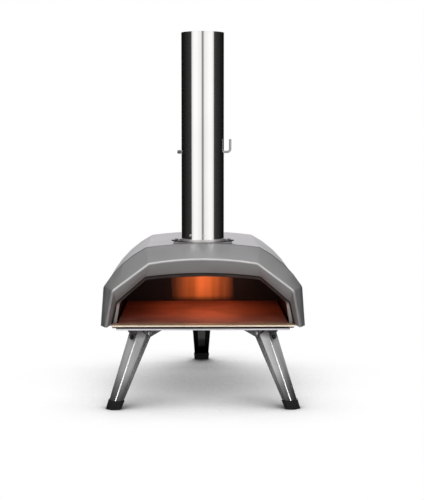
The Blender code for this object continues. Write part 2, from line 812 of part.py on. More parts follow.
def make_baffle():
    half_path = grown(LINER, -BAFFLE_SIDE_GAP)
    bottom = footed(half_path, STONE_Z)
    right = [point for point in bottom if point[0] > 0 and point[1] < BAFFLE_TOP_Z]
    last, following = right[-1], bottom[len(right)]
    share = (BAFFLE_TOP_Z - last[1]) / (following[1] - last[1])
    right.append((last[0] + (following[0] - last[0]) * share, BAFFLE_TOP_Z))
    outline = right + [(-x, z) for x, z in reversed(right)]
    place = (0.0, behind(BAFFLE_AT) + SHEET / 2, 0.0)
    wall = plate("rear_baffle", [outline], SHEET, TINTED, location=place, rotation=UPRIGHT)
    top_half = right[-1][0] - CORNER_RADIUS
    lap = SHEET / 2
    lip_low = (-top_half, behind(BAFFLE_AT) + lap, BAFFLE_TOP_Z - SHEET - lap)
    lip_high = (top_half, behind(BAFFLE_AT + BAFFLE_LIP), BAFFLE_TOP_Z - lap)
    foot_half = right[0][0] - CORNER_RADIUS
    foot_low = (-foot_half, behind(BAFFLE_AT) + lap, STONE_Z + SEAT)
    foot_high = (foot_half, behind(BAFFLE_AT + BAFFLE_FOOT), STONE_Z + SEAT + SHEET)
    return joined(wall, box("baffle_top_lip", lip_low, lip_high), box("baffle_foot", foot_low, foot_high))


# Rear panel and firebox

SCREW_LINE = footed(grown(CASING, -PANEL_SCREW_INSET), REAR_BOTTOM_Z)
SHOULDER_AT = 1 + CORNER_STEPS // 2
CORNER_AT = SHOULDER_AT + SHOULDER_STEPS + CORNER_STEPS


def between(start, end, share):
    """The point at a share of the way from start to end."""
    return tuple(first + (last - first) * share for first, last in zip(start, end))


PANEL_SCREWS = (
    between(SCREW_LINE[0], SCREW_LINE[1], PANEL_SCREW_SHARE),
    SCREW_LINE[SHOULDER_AT],
    SCREW_LINE[CORNER_AT],
)
SCREW_HOLE_RADIUS = SCREW_RADIUS + SCREW_HOLE_GAP


def both_sides(places):
    return list(places) + [(-x, z) for x, z in places]


def make_rear_panel():
    edge = footed(CASING, PANEL_FOOT_Z)
    port_loop = rounded_loop(rectangle((-PORT_HALF, PORT_SILL_Z), (PORT_HALF, PORT_HEAD_Z)), CORNER_RADIUS)
    place = (0.0, behind(CASING_END + SEAT) + SHEET / 2, 0.0)
    panel = plate("rear_panel", [edge], SHEET, BRUSHED, location=place, rotation=UPRIGHT)
    cut(panel, plate("flame_port", [port_loop], OVERRUN, location=place, rotation=UPRIGHT))
    for number, (x, z) in enumerate(both_sides(PANEL_SCREWS)):
        front, back = (x, place[1] - OVERRUN, z), (x, place[1] + OVERRUN, z)
        cut(panel, bar("panel_hole_%d" % number, front, back, SCREW_HOLE_RADIUS, steps=8))
    return panel


def screw(name, head, direction, length, material):
    """A cap screw: its head stands on the point and its shank runs back along the direction."""
    head, direction = Vector(head), Vector(direction)
    top = head - direction * SCREW_HEAD_HEIGHT
    cap = bar(name, head, top, SCREW_HEAD_RADIUS, material, end_radius=SCREW_HEAD_RADIUS * HEAD_SHARE)
    start = head - direction * SCREW_HEAD_HEIGHT / 2
    shank = bar(name + "_shank", start, head + direction * length, SCREW_RADIUS)
    return joined(cap, shank)


def make_panel_screws():
    face = behind(PANEL_BACK) + SEAT
    for at, (x, z) in enumerate(both_sides(PANEL_SCREWS)):
        screw("rear_panel_screw_%d" % (at + 1), (x, face, z), (0.0, -1.0, 0.0), SHEET + SEAT, ZINC)


HATCH_FRONT = FIREBOX_START + HATCH_FROM_PANEL
HATCH_Z = FIREBOX_TOP_Z + SEAT
HINGE_AT = HATCH_FRONT - HINGE_GAP
HINGE_Z = HATCH_Z + HINGE_EYE_RADIUS
DRAWER_Z = BASE_Z + SHEET + SEAT


def firebox_path(inset, foot_z):
    half, top = FIREBOX_HALF - inset, FIREBOX_TOP_Z - inset
    right = [(half, foot_z), (half, top - FIREBOX_CHAMFER), (half - FIREBOX_CHAMFER, top)]
    return right + [(-x, z) for x, z in reversed(right)]


def make_firebox():
    path = firebox_path(0.0, PANEL_FOOT_Z)
    housing = tunnel("firebox_shell", path, FIREBOX_START + SHEET / 2, FIREBOX_END, SHEET, -1, BRUSHED)
    lap = SHEET / 2
    rim_rows = [
        [(x, behind(FIREBOX_START), z) for x, z in footed(rim, PANEL_FOOT_Z + lap)]
        for rim in (grown(path, -lap), grown(path, FIREBOX_FLANGE))
    ]
    rim = sheet("firebox_front_rim", rim_rows, SHEET, 1)
    wall_place = (0.0, behind(FIREBOX_END) - SHEET, 0.0)
    wall_path = firebox_path(lap, PANEL_FOOT_Z + lap)
    wall = plate("firebox_rear_wall", [wall_path], SHEET, location=wall_place, rotation=UPRIGHT)
    joined(housing, rim, wall)
    half = DRAWER_HALF + DRAWER_CLEARANCE
    port_low = (-half, behind(FIREBOX_END) - OVERRUN, BASE_Z - OVERRUN)
    port_high = (half, behind(FIREBOX_END) + OVERRUN, DRAWER_PORT_TOP_Z)
    hatch_half = HATCH_HALF - HATCH_OVERLAP
    hatch_low = (-hatch_half, behind(HATCH_FRONT + HATCH_OVERLAP), FIREBOX_TOP_Z - OVERRUN)
    hatch_high = (hatch_half, behind(HATCH_FRONT + HATCH_LENGTH - HATCH_OVERLAP), FIREBOX_TOP_Z + OVERRUN)
    return cut(housing, box("drawer_port", port_low, port_high), box("hatch_port", hatch_low, hatch_high))


def make_firebox_floor():
    half = FIREBOX_HALF - SHEET - SEAT
    rim_z = BASE_Z + FIREBOX_FLOOR_RIM
    path = [(-half, rim_z), (-half, BASE_Z), (half, BASE_Z), (half, rim_z)]
    end = FIREBOX_END - 2 * SHEET - SEAT
    return tunnel("firebox_floor", path, FIREBOX_START + SHEET + SEAT, end, SHEET, -1, DARK_STEEL)


def hinge_eye(name, side, foot_point, material=None):
    """A hinge plate in the yz plane: an eye round the pin and a tail to a foot point (depth, z)."""
    eye = circle((HINGE_AT, HINGE_Z), HINGE_EYE_RADIUS)
    eye_plate = plate(
        name,
        [[(behind(y), z) for y, z in eye]],
        HINGE_LUG,
        material,
        location=(side, 0.0, 0.0),
        rotation=(math.radians(90), 0.0, math.radians(90)),
    )
    depths = sorted((HINGE_AT, foot_point[0]))
    heights = sorted((HINGE_Z, foot_point[1]))
    low = (side - HINGE_LUG / 2, behind(depths[0]), heights[0])
    high = (side + HINGE_LUG / 2, behind(depths[1]), heights[1])
    return eye_plate, low, high


def pin_hole(name, half):
    start = (-half, behind(HINGE_AT), HINGE_Z)
    end = (half, behind(HINGE_AT), HINGE_Z)
    return bar(name, start, end, HINGE_PIN_RADIUS + SEAT)


def make_hatch():
    low = (-HATCH_HALF, behind(HATCH_FRONT), HATCH_Z)
    high = (HATCH_HALF, behind(HATCH_FRONT + HATCH_LENGTH), HATCH_Z + HATCH_HEIGHT)
    lid = box("hatch_lid", low, high, BRUSHED)
    hollow_low = (-HATCH_HALF + SHEET, behind(HATCH_FRONT) + SHEET, HATCH_Z - OVERRUN)
    hollow_back = behind(HATCH_FRONT + HATCH_LENGTH) - SHEET
    hollow_high = (HATCH_HALF - SHEET, hollow_back, HATCH_Z + HATCH_HEIGHT - SHEET)
    cut(lid, box("hatch_hollow", hollow_low, hollow_high))
    tail = (HATCH_FRONT + SHEET / 2, HINGE_Z + HINGE_PIN_RADIUS)
    for number, side in enumerate((-HINGE_EYE_HALF, HINGE_EYE_HALF)):
        eye, low, high = hinge_eye("lid_eye_%d" % number, side, tail)
        joined(lid, eye, box("lid_tail_%d" % number, low, high))
    cut(lid, pin_hole("lid_pin_hole", HATCH_HALF))
    bpy.context.view_layer.update()
    hinge = empty("hatch_hinge_axis", (0.0, behind(HINGE_AT), HINGE_Z))
    lid.parent = hinge
    lid.matrix_parent_inverse = Matrix.Translation(-hinge.location)
    return lid


def make_hinge():
    bracket_at = HINGE_EYE_HALF + HINGE_LUG + HINGE_LUG_GAP
    for number, (hand, out) in enumerate((("left", -1.0), ("right", 1.0))):
        side = out * bracket_at
        foot_point = (HINGE_AT - HINGE_FOOT, HATCH_Z)
        eye, low, high = hinge_eye("hatch_hinge_bracket_" + hand, side, foot_point, BRUSHED)
        tail = box("bracket_tail_%d" % number, low, high)
        inner = side - out * HINGE_LUG / 2
        outer = side + out * HINGE_FOOT
        foot_low = (min(inner, outer), low[1], HATCH_Z)
        foot_high = (max(inner, outer), low[1] + HINGE_FOOT, HATCH_Z + SHEET)
        joined(eye, tail, box("bracket_foot_%d" % number, foot_low, foot_high))
        cut(eye, pin_hole("bracket_pin_hole_%d" % number, HATCH_HALF))
    reach = bracket_at + HINGE_LUG / 2 + SEAT
    y = behind(HINGE_AT)
    pin = bar("hatch_hinge_pin", (-reach - HINGE_HEAD / 2, y, HINGE_Z), (reach + HINGE_HEAD / 2, y, HINGE_Z),
              HINGE_PIN_RADIUS, ZINC)
    for number, out in enumerate((-1.0, 1.0)):
        start = (out * reach, y, HINGE_Z)
        end = (out * (reach + HINGE_HEAD), y, HINGE_Z)
        joined(pin, bar("pin_head_%d" % number, start, end, HINGE_PIN_RADIUS + SHEET))
    return pin


def bent_bar(half, reach, turn_radius, steps=CORNER_STEPS):
    """A U-shaped bar's path in its own plane: (along, out) points with rounded bends."""
    path = [(-half, 0.0), (-half, reach), (half, reach), (half, 0.0)]
    path = softened(path, 2, turn_radius, steps)
    return softened(path, 1, turn_radius, steps)


def make_hatch_handle():
    base = HATCH_Z + HATCH_HEIGHT + SEAT
    y = behind(HATCH_FRONT + HATCH_LENGTH - HATCH_BAR_SET)
    path = [(along, y, base + out) for along, out in bent_bar(HATCH_BAR_HALF, HATCH_BAR_REACH, BAR_BEND)]
    handle = tube("hatch_handle", path, BAR_RADIUS, GRIP)
    for number, side in enumerate((-HATCH_BAR_HALF, HATCH_BAR_HALF)):
        start = (side, y, base)
        end = (side, y, base + BAR_FOOT_HEIGHT)
        joined(handle, bar("hatch_handle_foot_%d" % number, start, end, BAR_FOOT))
    return handle


def make_drawer():
    start = FIREBOX_START + DRAWER_SET
    low = (-DRAWER_HALF, behind(start), DRAWER_Z)
    high = (DRAWER_HALF, behind(FACE_START) + SHEET / 2, DRAWER_Z + DRAWER_HEIGHT)
    drawer = box("fuel_drawer", low, high, DARK_STEEL)
    inner_low = (-DRAWER_HALF + SHEET, behind(start) + SHEET, DRAWER_Z + SHEET)
    inner_high = (DRAWER_HALF - SHEET, behind(FIREBOX_END) - SHEET, DRAWER_Z + DRAWER_HEIGHT + OVERRUN)
    cut(drawer, box("drawer_hollow", inner_low, inner_high))
    face_corners = rectangle((-DRAWER_FACE_HALF, DRAWER_Z), (DRAWER_FACE_HALF, DRAWER_FACE_TOP_Z))
    face = rounded_loop(face_corners, BAR_BEND)
    vent_z = DRAWER_Z + (DRAWER_FACE_TOP_Z - DRAWER_Z) * VENT_SHARE
    middle = (VENT_COUNT - 1) / 2
    vents = [circle(((at - middle) * VENT_PITCH, vent_z), VENT_RADIUS) for at in range(VENT_COUNT)]
    place = (0.0, behind(FACE_START) + SHEET / 2, 0.0)
    front = plate("drawer_face", [face] + vents, SHEET, location=place, rotation=UPRIGHT)
    return joined(drawer, front)


def make_grate():
    start = FIREBOX_START + DRAWER_SET + GRATE_SET
    low, high = (-GRATE_HALF, behind(start)), (GRATE_HALF, behind(start + GRATE_LENGTH))
    cell_width = (high[0] - low[0] - 2 * GRATE_RIM) / GRATE_SLOTS
    cell_length = (high[1] - low[1] - 2 * GRATE_RIM) / GRATE_ROWS
    slots = []
    for row in range(GRATE_ROWS):
        for column in range(GRATE_SLOTS):
            x = low[0] + GRATE_RIM + cell_width * (column + 1 / 2)
            y = low[1] + GRATE_RIM + cell_length * (row + 1 / 2)
            slots.append(slot((x, y), cell_length - GRATE_BAR, cell_width - GRATE_BAR, steps=4))
    place = (0.0, 0.0, GRATE_TOP_Z - SHEET / 2)
    grate = plate("fuel_grate", [rectangle(low, high)] + slots, SHEET, DARK_STEEL, location=place)
    for number, x in enumerate((low[0] + SHEET, high[0] - 2 * SHEET)):
        leg_low = (x, low[1] + SHEET, DRAWER_Z + SHEET + SEAT)
        leg_high = (x + SHEET, high[1] - SHEET, GRATE_TOP_Z - SHEET / 2)
        joined(grate, box("grate_leg_%d" % number, leg_low, leg_high))
    return grate


def make_drawer_handle():
    base = behind(FACE_START) + SHEET + SEAT
    bend = bent_bar(DRAWER_BAR_HALF, DRAWER_BAR_REACH, BAR_BEND)
    path = [(along, base + out, DRAWER_BAR_Z) for along, out in bend]
    handle = tube("drawer_handle", path, BAR_RADIUS, GRIP)
    for number, side in enumerate((-DRAWER_BAR_HALF, DRAWER_BAR_HALF)):
        start = (side, base, DRAWER_BAR_Z)
        end = (side, base + BAR_FOOT_HEIGHT, DRAWER_BAR_Z)
        joined(handle, bar("drawer_handle_foot_%d" % number, start, end, BAR_FOOT))
    return handle


# Chimney: socket on the roof, tube and damper

FLUE_Y = behind(FLUE_AT)
FLUE_BORE = FLUE_RADIUS - FLUE_WALL
SPIGOT_RADIUS = FLUE_BORE - SPIGOT_GAP
SOCKET_TOP_Z = FLANGE_Z + FLANGE_PLATE
THROAT_Z = MOUTH_CROWN_Z + SHEET + SEAT


def ear_outline(inset):
    """The two-eared flange: a round hub and an ear on each side, joined by straight tangents."""
    hub, ear = FLANGE_HUB - inset, FLANGE_EAR_RADIUS - inset
    reach = FLANGE_EAR_REACH
    lean = math.acos((hub - ear) / reach)
    points = []
    for centre_x, radius, first, last in (
        (reach, ear, -lean, lean),
        (0.0, hub, lean, math.pi - lean),
        (-reach, ear, math.pi - lean, math.pi + lean),
        (0.0, hub, math.pi + lean, 2 * math.pi - lean),
    ):
        for step in range(SMALL_STEPS + 1):
            turn = first + (last - first) * step / SMALL_STEPS
            points.append((centre_x + radius * math.cos(turn), radius * math.sin(turn)))
    return points


def screw_holes():
    return [circle((side, 0.0), SCREW_HOLE_RADIUS) for side in (-FLANGE_SCREW_AT, FLANGE_SCREW_AT)]


def make_socket():
    inner = SPIGOT_RADIUS - SPIGOT_WALL
    collar = FLUE_RADIUS + COLLAR_WALL
    cup = FLUE_RADIUS + SPIGOT_GAP
    profile = [
        (SPIGOT_RADIUS, SPIGOT_TOP_Z),
        (SPIGOT_RADIUS, SOCKET_TOP_Z),
        (cup, SOCKET_TOP_Z),
        (cup, COLLAR_TOP_Z),
        (collar, COLLAR_TOP_Z),
        (collar, FLANGE_Z + FLANGE_PLATE / 2),
        (SPIGOT_RADIUS, FLANGE_Z + FLANGE_PLATE / 2),
        (SPIGOT_RADIUS, THROAT_Z),
        (inner, THROAT_Z),
        (inner, SPIGOT_TOP_Z),
    ]
    socket = turned("chimney_socket", profile, (0.0, FLUE_Y, 0.0), DARK_STEEL)
    hub_hole = circle((0.0, 0.0), (inner + SPIGOT_RADIUS) / 2, steps=ROUND_STEPS)
    place = (0.0, FLUE_Y, FLANGE_Z + FLANGE_PLATE / 2)
    outlines = [ear_outline(0.0), hub_hole] + screw_holes()
    flange = plate("socket_flange", outlines, FLANGE_PLATE, location=place)
    joined(socket, flange)
    for number, angle in enumerate(LOCK_ANGLES):
        out = Vector((math.cos(angle), math.sin(angle), 0.0))
        middle = Vector((0.0, FLUE_Y, LOCK_PIN_Z))
        start = middle + out * (inner + SPIGOT_RADIUS) / 2
        end = middle + out * (FLUE_RADIUS + LOCK_PIN_REACH)
        joined(socket, bar("lock_pin_%d" % number, start, end, LOCK_PIN_RADIUS))
    return socket


def make_gasket():
    """A felt washer: flat under the flange and hollowed to the round roof."""
    hole = circle((0.0, 0.0), SPIGOT_RADIUS + SEAT, steps=ROUND_STEPS)
    height = FLANGE_Z - SEAT - REAR_CORNER_Z
    place = (0.0, FLUE_Y, REAR_CORNER_Z + height / 2)
    outlines = [ear_outline(GASKET_INSET), hole] + screw_holes()
    gasket = plate("chimney_gasket", outlines, height, FELT, location=place)
    roof_path = footed(grown(CASING, SEAT), PANEL_FOOT_Z)
    roof_place = (0.0, behind(FLUE_AT), 0.0)
    roof = plate("roof_cutter", [roof_path], 2 * FLUE_AT, location=roof_place, rotation=UPRIGHT)
    return cut(gasket, roof)


def make_socket_screws():
    for hand, out in (("left", -1.0), ("right", 1.0)):
        head = (out * FLANGE_SCREW_AT, FLUE_Y, SOCKET_TOP_Z + SEAT)
        screw("socket_screw_" + hand, head, (0.0, 0.0, -1.0), FLANGE_PLATE + 3 * SEAT, DARK_STEEL)


def make_tube():
    bottom = SOCKET_TOP_Z + SEAT
    profile = [(FLUE_BORE, FLUE_TOP_Z), (FLUE_RADIUS, FLUE_TOP_Z), (FLUE_RADIUS, bottom), (FLUE_BORE, bottom)]
    chimney = turned("chimney_tube", profile, (0.0, FLUE_Y, 0.0), POLISHED)
    width = LOCK_PIN_RADIUS + LOCK_NOTCH_GAP
    for number, angle in enumerate(LOCK_ANGLES):
        low = (FLUE_BORE - OVERRUN / 2, -width, bottom - OVERRUN)
        high = (FLUE_RADIUS + OVERRUN / 2, width, LOCK_PIN_Z + width)
        notch = box("lock_notch_%d" % number, low, high)
        notch.location = (0.0, FLUE_Y, 0.0)
        notch.rotation_euler = (0.0, 0.0, angle)
        cut(chimney, notch)
    reach = FLUE_RADIUS + OVERRUN
    hole = bar("damper_rod_hole", (-reach, FLUE_Y, DAMPER_Z), (reach, FLUE_Y, DAMPER_Z),
               DAMPER_ROD_RADIUS + DAMPER_HOLE_GAP)
    return cut(chimney, hole)


def make_damper():
    axis = empty("damper_axis", (0.0, FLUE_Y, DAMPER_Z))
    arm = [(-DAMPER_END, 0.0), (DAMPER_ARM_AT, 0.0), (DAMPER_ARM_AT, DAMPER_ARM_TOP_Z - DAMPER_Z)]
    arm = softened(arm, 1, DAMPER_BEND, 2 * CORNER_STEPS)
    tube("damper_rod", [(x, 0.0, z) for x, z in arm], DAMPER_ROD_RADIUS, ZINC, axis)
    disc_y = DAMPER_ROD_RADIUS + SEAT + DAMPER_PLATE / 2
    sides = (-DAMPER_SCREW_SPREAD, DAMPER_SCREW_SPREAD)
    holes = [circle((side, 0.0), SCREW_HOLE_RADIUS, steps=8) for side in sides]
    edge = circle((0.0, 0.0), DAMPER_RADIUS, steps=ROUND_STEPS)
    plate("damper_plate", [edge] + holes, DAMPER_PLATE, DARK_STEEL, axis, (0.0, disc_y, 0.0), UPRIGHT)
    back = disc_y + DAMPER_PLATE / 2 + SEAT
    for hand, out in (("left", -1.0), ("right", 1.0)):
        head = (out * DAMPER_SCREW_SPREAD, FLUE_Y + back, DAMPER_Z)
        screw("damper_screw_" + hand, head, (0.0, -1.0, 0.0), DAMPER_PLATE + SEAT, ZINC)
    start = -DAMPER_END - SEAT
    inner_end = (start + CAP_NUT_LENGTH / 2, 0.0, 0.0)
    outer_end = (start - CAP_NUT_LENGTH / 2, 0.0, 0.0)
    nut = bar("damper_cap_nut", inner_end, outer_end, CAP_NUT_RADIUS, DARK_STEEL, axis,
              end_radius=CAP_NUT_RADIUS * HEAD_SHARE)
    socket = bar("cap_nut_hole", (0.0, FLUE_Y, DAMPER_Z), (start, FLUE_Y, DAMPER_Z), DAMPER_ROD_RADIUS + SEAT)
    return cut(nut, socket)


# Legs: each in its own frame, with x along the fold axis, -y out through the web and +z up the leg


EAR_AT = LEG_TOP_WEB / 2 + LEG_TOP_BEVEL + BRACKET_GAP + BRACKET_SHEET / 2
BRACKET_TOP = LEG_PIVOT_DROP - SEAT


def leg_section(share, growth=0.0):
    """The open half-octagon at a share of the leg's length: (across, out) points from edge to edge."""
    web = LEG_TOP_WEB + (LEG_END_WEB - LEG_TOP_WEB) * share
    bevel = LEG_TOP_BEVEL + (LEG_END_BEVEL - LEG_TOP_BEVEL) * share
    flange = LEG_TOP_FLANGE + (LEG_END_FLANGE - LEG_TOP_FLANGE) * share
    rise = LEG_TOP_RISE + (LEG_END_RISE - LEG_TOP_RISE) * share
    half = web / 2
    edge = rise - bevel - flange - growth
    right = [(half + bevel, edge), (half + bevel, rise - bevel), (half, rise)]
    path = right + [(-x, z) for x, z in reversed(right)]
    return grown(path, growth) if growth else path


def level_row(height, growth=0.0):
    """A row of the channel, cut level at a height over the floor."""
    row = []
    top, end = leg_section(0.0, growth), leg_section(1.0, growth)
    for (top_across, top_out), (end_across, end_out) in zip(top, end):
        fall = math.cos(LEG_TILT) - (end_out - top_out) / LEG_LENGTH * math.sin(LEG_TILT)
        distance = (LEG_PIVOT_Z - height + top_out * math.sin(LEG_TILT)) / fall
        share = distance / LEG_LENGTH
        across = top_across + (end_across - top_across) * share
        row.append((across, -(top_out + (end_out - top_out) * share), -distance))
    return row


def top_row():
    """The channel's upper edge: level under the base at the front, and round the fold axis behind it."""
    reach = LEG_PIVOT_DROP - LEG_HEADROOM
    row = []
    for across, y, z in level_row(LEG_PIVOT_Z + reach):
        if abs(y) < reach:
            z = min(z, math.sqrt(reach**2 - y**2))
        row.append((across, y, z))
    return row


def make_channel(name, axis):
    channel = sheet(name, [top_row(), level_row(BOOT_SOLE)], LEG_SHEET, -1, BRUSHED, axis)
    hole = bar(name + "_bolt_hole", (-EAR_AT, 0.0, 0.0), (EAR_AT, 0.0, 0.0), BOLT_RADIUS + SEAT, parent=axis)
    slot_depth = 2 * OVERRUN
    opening = slot((0.0, -BUTTON_AT), BUTTON_LENGTH + 2 * SEAT, BUTTON_WIDTH + 2 * SEAT, steps=6)
    window = plate(name + "_button_hole", [opening], slot_depth, parent=axis,
                   location=(0.0, -LEG_TOP_RISE, 0.0), rotation=UPRIGHT)
    return cut(channel, hole, window)


def make_boot(name, axis):
    """The rubber foot: a closed block over the channel's end, level at its top and on the floor."""
    ends = [level_row(BOOT_TOP_Z, BOOT_WALL), level_row(0.0, BOOT_WALL)]
    boot = wall_loop(name, [list(pair) for pair in zip(*ends)], RUBBER, axis)
    socket_rows = [level_row(BOOT_TOP_Z + OVERRUN, SEAT), level_row(BOOT_SOLE - SEAT, SEAT)]
    socket = sheet(name + "_socket", socket_rows, LEG_SHEET + 2 * SEAT, -1, parent=axis)
    return cut(boot, socket)


def make_button(name, axis):
    """The sprung lock button: an oval head through the web, a collar behind it and a stem."""
    face = LEG_TOP_RISE + (LEG_END_RISE - LEG_TOP_RISE) * BUTTON_AT / LEG_LENGTH
    behind_web = face - LEG_SHEET - BUTTON_TRAVEL * BUTTON_SPARE_SHARE
    head_depth = face + BUTTON_PROUD - behind_web
    head_outline = slot((0.0, -BUTTON_AT), BUTTON_LENGTH, BUTTON_WIDTH, steps=6)
    button = plate(name, [head_outline], head_depth, GRIP, axis,
                   (0.0, -(behind_web + head_depth / 2), 0.0), UPRIGHT)
    lap = BUTTON_COLLAR_THICKNESS / 2
    collar_outline = slot(
        (0.0, -BUTTON_AT), BUTTON_LENGTH + 2 * BUTTON_COLLAR, BUTTON_WIDTH + 2 * BUTTON_COLLAR, steps=6
    )
    collar = plate(name + "_collar", [collar_outline], BUTTON_COLLAR_THICKNESS, parent=axis,
                   location=(0.0, -behind_web, 0.0), rotation=UPRIGHT)
    stem_outline = circle((0.0, -BUTTON_AT), BUTTON_WIDTH / 4)
    stem = plate(name + "_stem", [stem_outline], BUTTON_STEM + lap, parent=axis,
                 location=(0.0, -(behind_web - (BUTTON_STEM + lap) / 2), 0.0), rotation=UPRIGHT)
    return joined(button, collar, stem)


def ear_shape(outer):
    """An ear of the clevis: a triangle with a rounded tip round the bolt, and its hole."""
    corners = [(-outer, BRACKET_TOP), (BRACKET_INNER, BRACKET_TOP)]
    corners += [(BRACKET_INNER, BRACKET_TOP - 2 * BRACKET_SHEET), (0.0, -BRACKET_TIP)]
    corners += [(-outer, BRACKET_TOP - BRACKET_SHEET)]
    return [softened(corners, 3, BRACKET_TIP_RADIUS, CORNER_STEPS), circle((0.0, 0.0), BOLT_RADIUS + SEAT)]


def make_bracket(name, mount, long_ear):
    """A folded clevis: two triangular ears and a bridge plate riveted under the base."""
    ear_turn = (math.radians(90), 0.0, math.radians(90))
    low = (-EAR_AT, BRACKET_BRIDGE, BRACKET_TOP - BRACKET_SHEET)
    high = (EAR_AT, BRACKET_INNER, BRACKET_TOP)
    bridge = box(name, low, high, DARK_STEEL, mount)
    for number, side in enumerate((-EAR_AT, EAR_AT)):
        outer = BRACKET_OUTER if side * long_ear > 0 else BRACKET_TIP
        ear = plate("%s_ear_%d" % (name, number), ear_shape(outer), BRACKET_SHEET, parent=mount,
                    location=(side, 0.0, 0.0), rotation=ear_turn)
        joined(bridge, ear)
    for number, y in enumerate((BRACKET_BRIDGE + RIVET_INSET, BRACKET_INNER - RIVET_INSET)):
        start = (0.0, y, BRACKET_TOP - BRACKET_SHEET - OVERRUN)
        hole_bar = bar("%s_rivet_hole_%d" % (name, number), start, (0.0, y, BRACKET_TOP + OVERRUN),
                       RIVET_RADIUS + SEAT, parent=mount)
        cut(bridge, hole_bar)
    return bridge


def make_bolt(name, mount):
    outside = EAR_AT + BRACKET_SHEET / 2 + SEAT
    bolt = bar(name, (-outside - BOLT_HEAD / 2, 0.0, 0.0), (outside + BOLT_HEAD / 2, 0.0, 0.0),
               BOLT_RADIUS, ZINC, mount)
    for number, out in enumerate((-1.0, 1.0)):
        start = (out * outside, 0.0, 0.0)
        end = (out * (outside + BOLT_HEAD), 0.0, 0.0)
        head = bar("%s_head_%d" % (name, number), start, end, BOLT_HEAD_RADIUS, parent=mount,
                   end_radius=BOLT_HEAD_RADIUS * HEAD_SHARE)
        joined(bolt, head)
    return bolt


def make_rivets(name, mount):
    """Two rivets up through one bracket's bridge."""
    under = BRACKET_TOP - BRACKET_SHEET - SEAT
    for number, y in enumerate((BRACKET_BRIDGE + RIVET_INSET, BRACKET_INNER - RIVET_INSET)):
        head = bar("%s_%d" % (name, number + 1), (0.0, y, under - RIVET_HEAD), (0.0, y, under),
                   RIVET_HEAD_RADIUS * HEAD_SHARE, ZINC, mount, end_radius=RIVET_HEAD_RADIUS)
        shank = bar("%s_%d_shank" % (name, number), (0.0, y, under - RIVET_HEAD / 2), (0.0, y, BRACKET_TOP),
                    RIVET_RADIUS, parent=mount)
        joined(head, shank)


LEGS = (
    ("front_left", -FRONT_LEG_HALF, FRONT_LEG_AT, -FRONT_LEG_TURN),
    ("front_right", FRONT_LEG_HALF, FRONT_LEG_AT, FRONT_LEG_TURN),
    ("rear", 0.0, REAR_LEG_AT, math.pi),
)


def make_legs():
    for side, x, depth, turn in LEGS:
        place = (x, behind(depth), LEG_PIVOT_Z)
        mount = empty(side + "_leg_mount", place, (0.0, 0.0, turn))
        axis = empty(side + "_leg_fold", (0.0, 0.0, 0.0), (-LEG_TILT, 0.0, 0.0), mount)
        make_bracket(side + "_leg_bracket", mount, -x)
        make_bolt(side + "_leg_bolt", mount)
        make_channel(side + "_leg", axis)
        make_boot(side + "_foot", axis)
        make_button(side + "_leg_button", axis)
        make_rivets(side + "_rivet", mount)


make_casing()
make_nose()
make_mouth_frame()
make_liner()
make_blanket()
make_base_pan()
make_stone_tray()
make_threshold()
make_stone()
make_baffle()
make_rear_panel()
make_panel_screws()
make_firebox()
make_firebox_floor()
make_hatch()
make_hinge()
make_hatch_handle()
make_drawer()
make_grate()
make_drawer_handle()
make_socket()
make_gasket()
make_socket_screws()
make_tube()
make_damper()
make_legs()
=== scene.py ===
import json
import math

import bmesh
import bpy
from mathutils import Euler, Matrix, Vector


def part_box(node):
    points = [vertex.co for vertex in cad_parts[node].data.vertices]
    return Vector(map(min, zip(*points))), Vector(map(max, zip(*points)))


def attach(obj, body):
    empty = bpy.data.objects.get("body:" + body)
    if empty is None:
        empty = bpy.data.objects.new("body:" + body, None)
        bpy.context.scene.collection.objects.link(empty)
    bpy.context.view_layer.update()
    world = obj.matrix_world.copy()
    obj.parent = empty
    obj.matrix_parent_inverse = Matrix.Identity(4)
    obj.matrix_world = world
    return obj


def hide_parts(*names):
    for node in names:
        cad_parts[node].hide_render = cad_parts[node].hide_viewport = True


bl_info = {
    "name": "Portable pizza oven",
    "version": (1, 0, 0),
    "blender": (4, 5, 0),
    "location": "View3D > Sidebar > Pizza oven",
    "description": "Dresses a portable pizza oven: rounded edges, rolled chimney, finishes and stage",
    "category": "Object",
}

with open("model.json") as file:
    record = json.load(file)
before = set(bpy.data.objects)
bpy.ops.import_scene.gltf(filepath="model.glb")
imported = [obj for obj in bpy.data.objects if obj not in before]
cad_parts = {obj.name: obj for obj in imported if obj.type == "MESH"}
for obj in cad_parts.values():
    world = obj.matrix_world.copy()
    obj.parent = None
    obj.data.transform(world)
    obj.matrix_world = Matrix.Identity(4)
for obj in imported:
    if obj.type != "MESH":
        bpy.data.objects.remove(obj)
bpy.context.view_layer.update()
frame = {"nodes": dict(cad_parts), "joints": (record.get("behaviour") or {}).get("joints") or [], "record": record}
NODES = frame["nodes"]
LEG_SIDES = ("front_left", "front_right", "rear")

# Sizes and angles for making the pieces

MERGE_DISTANCE = 0.000005
FLAT_ANGLE = math.radians(0.8)
SMOOTH_ANGLE = math.radians(32)
FLUE_WALL = 0.001
FLUE_LIP = 0.0003
LEG_SHEET = 0.0015
LEG_LEAN = math.radians(28.3)
LEAST_BEND = 0.0002

# The least turn of an edge that is rounded

NOSE_TURN = math.radians(24)
BOOT_TURN = math.radians(30)
SHEET_TURN = math.radians(38)
BRACKET_TURN = math.radians(50)

# The least and the most turn of a leg's bends, and their least length

LEG_BENDS = (math.radians(30), math.radians(60), 0.05)

# Places across a leg, from its middle plane

LEG_SLOPE = (0.0125, 0.018)
LEG_RIDGE_END = 0.015
LEG_RIDGE_CORNER = 0.0154

# What a leg's finish reads at a corner of a face; ridges take a painted highlight, creases and flanges painted
# shade

RIDGE = 1.0
PLAIN = 0.0
FLANGE = -0.9
CREASE = -1.0
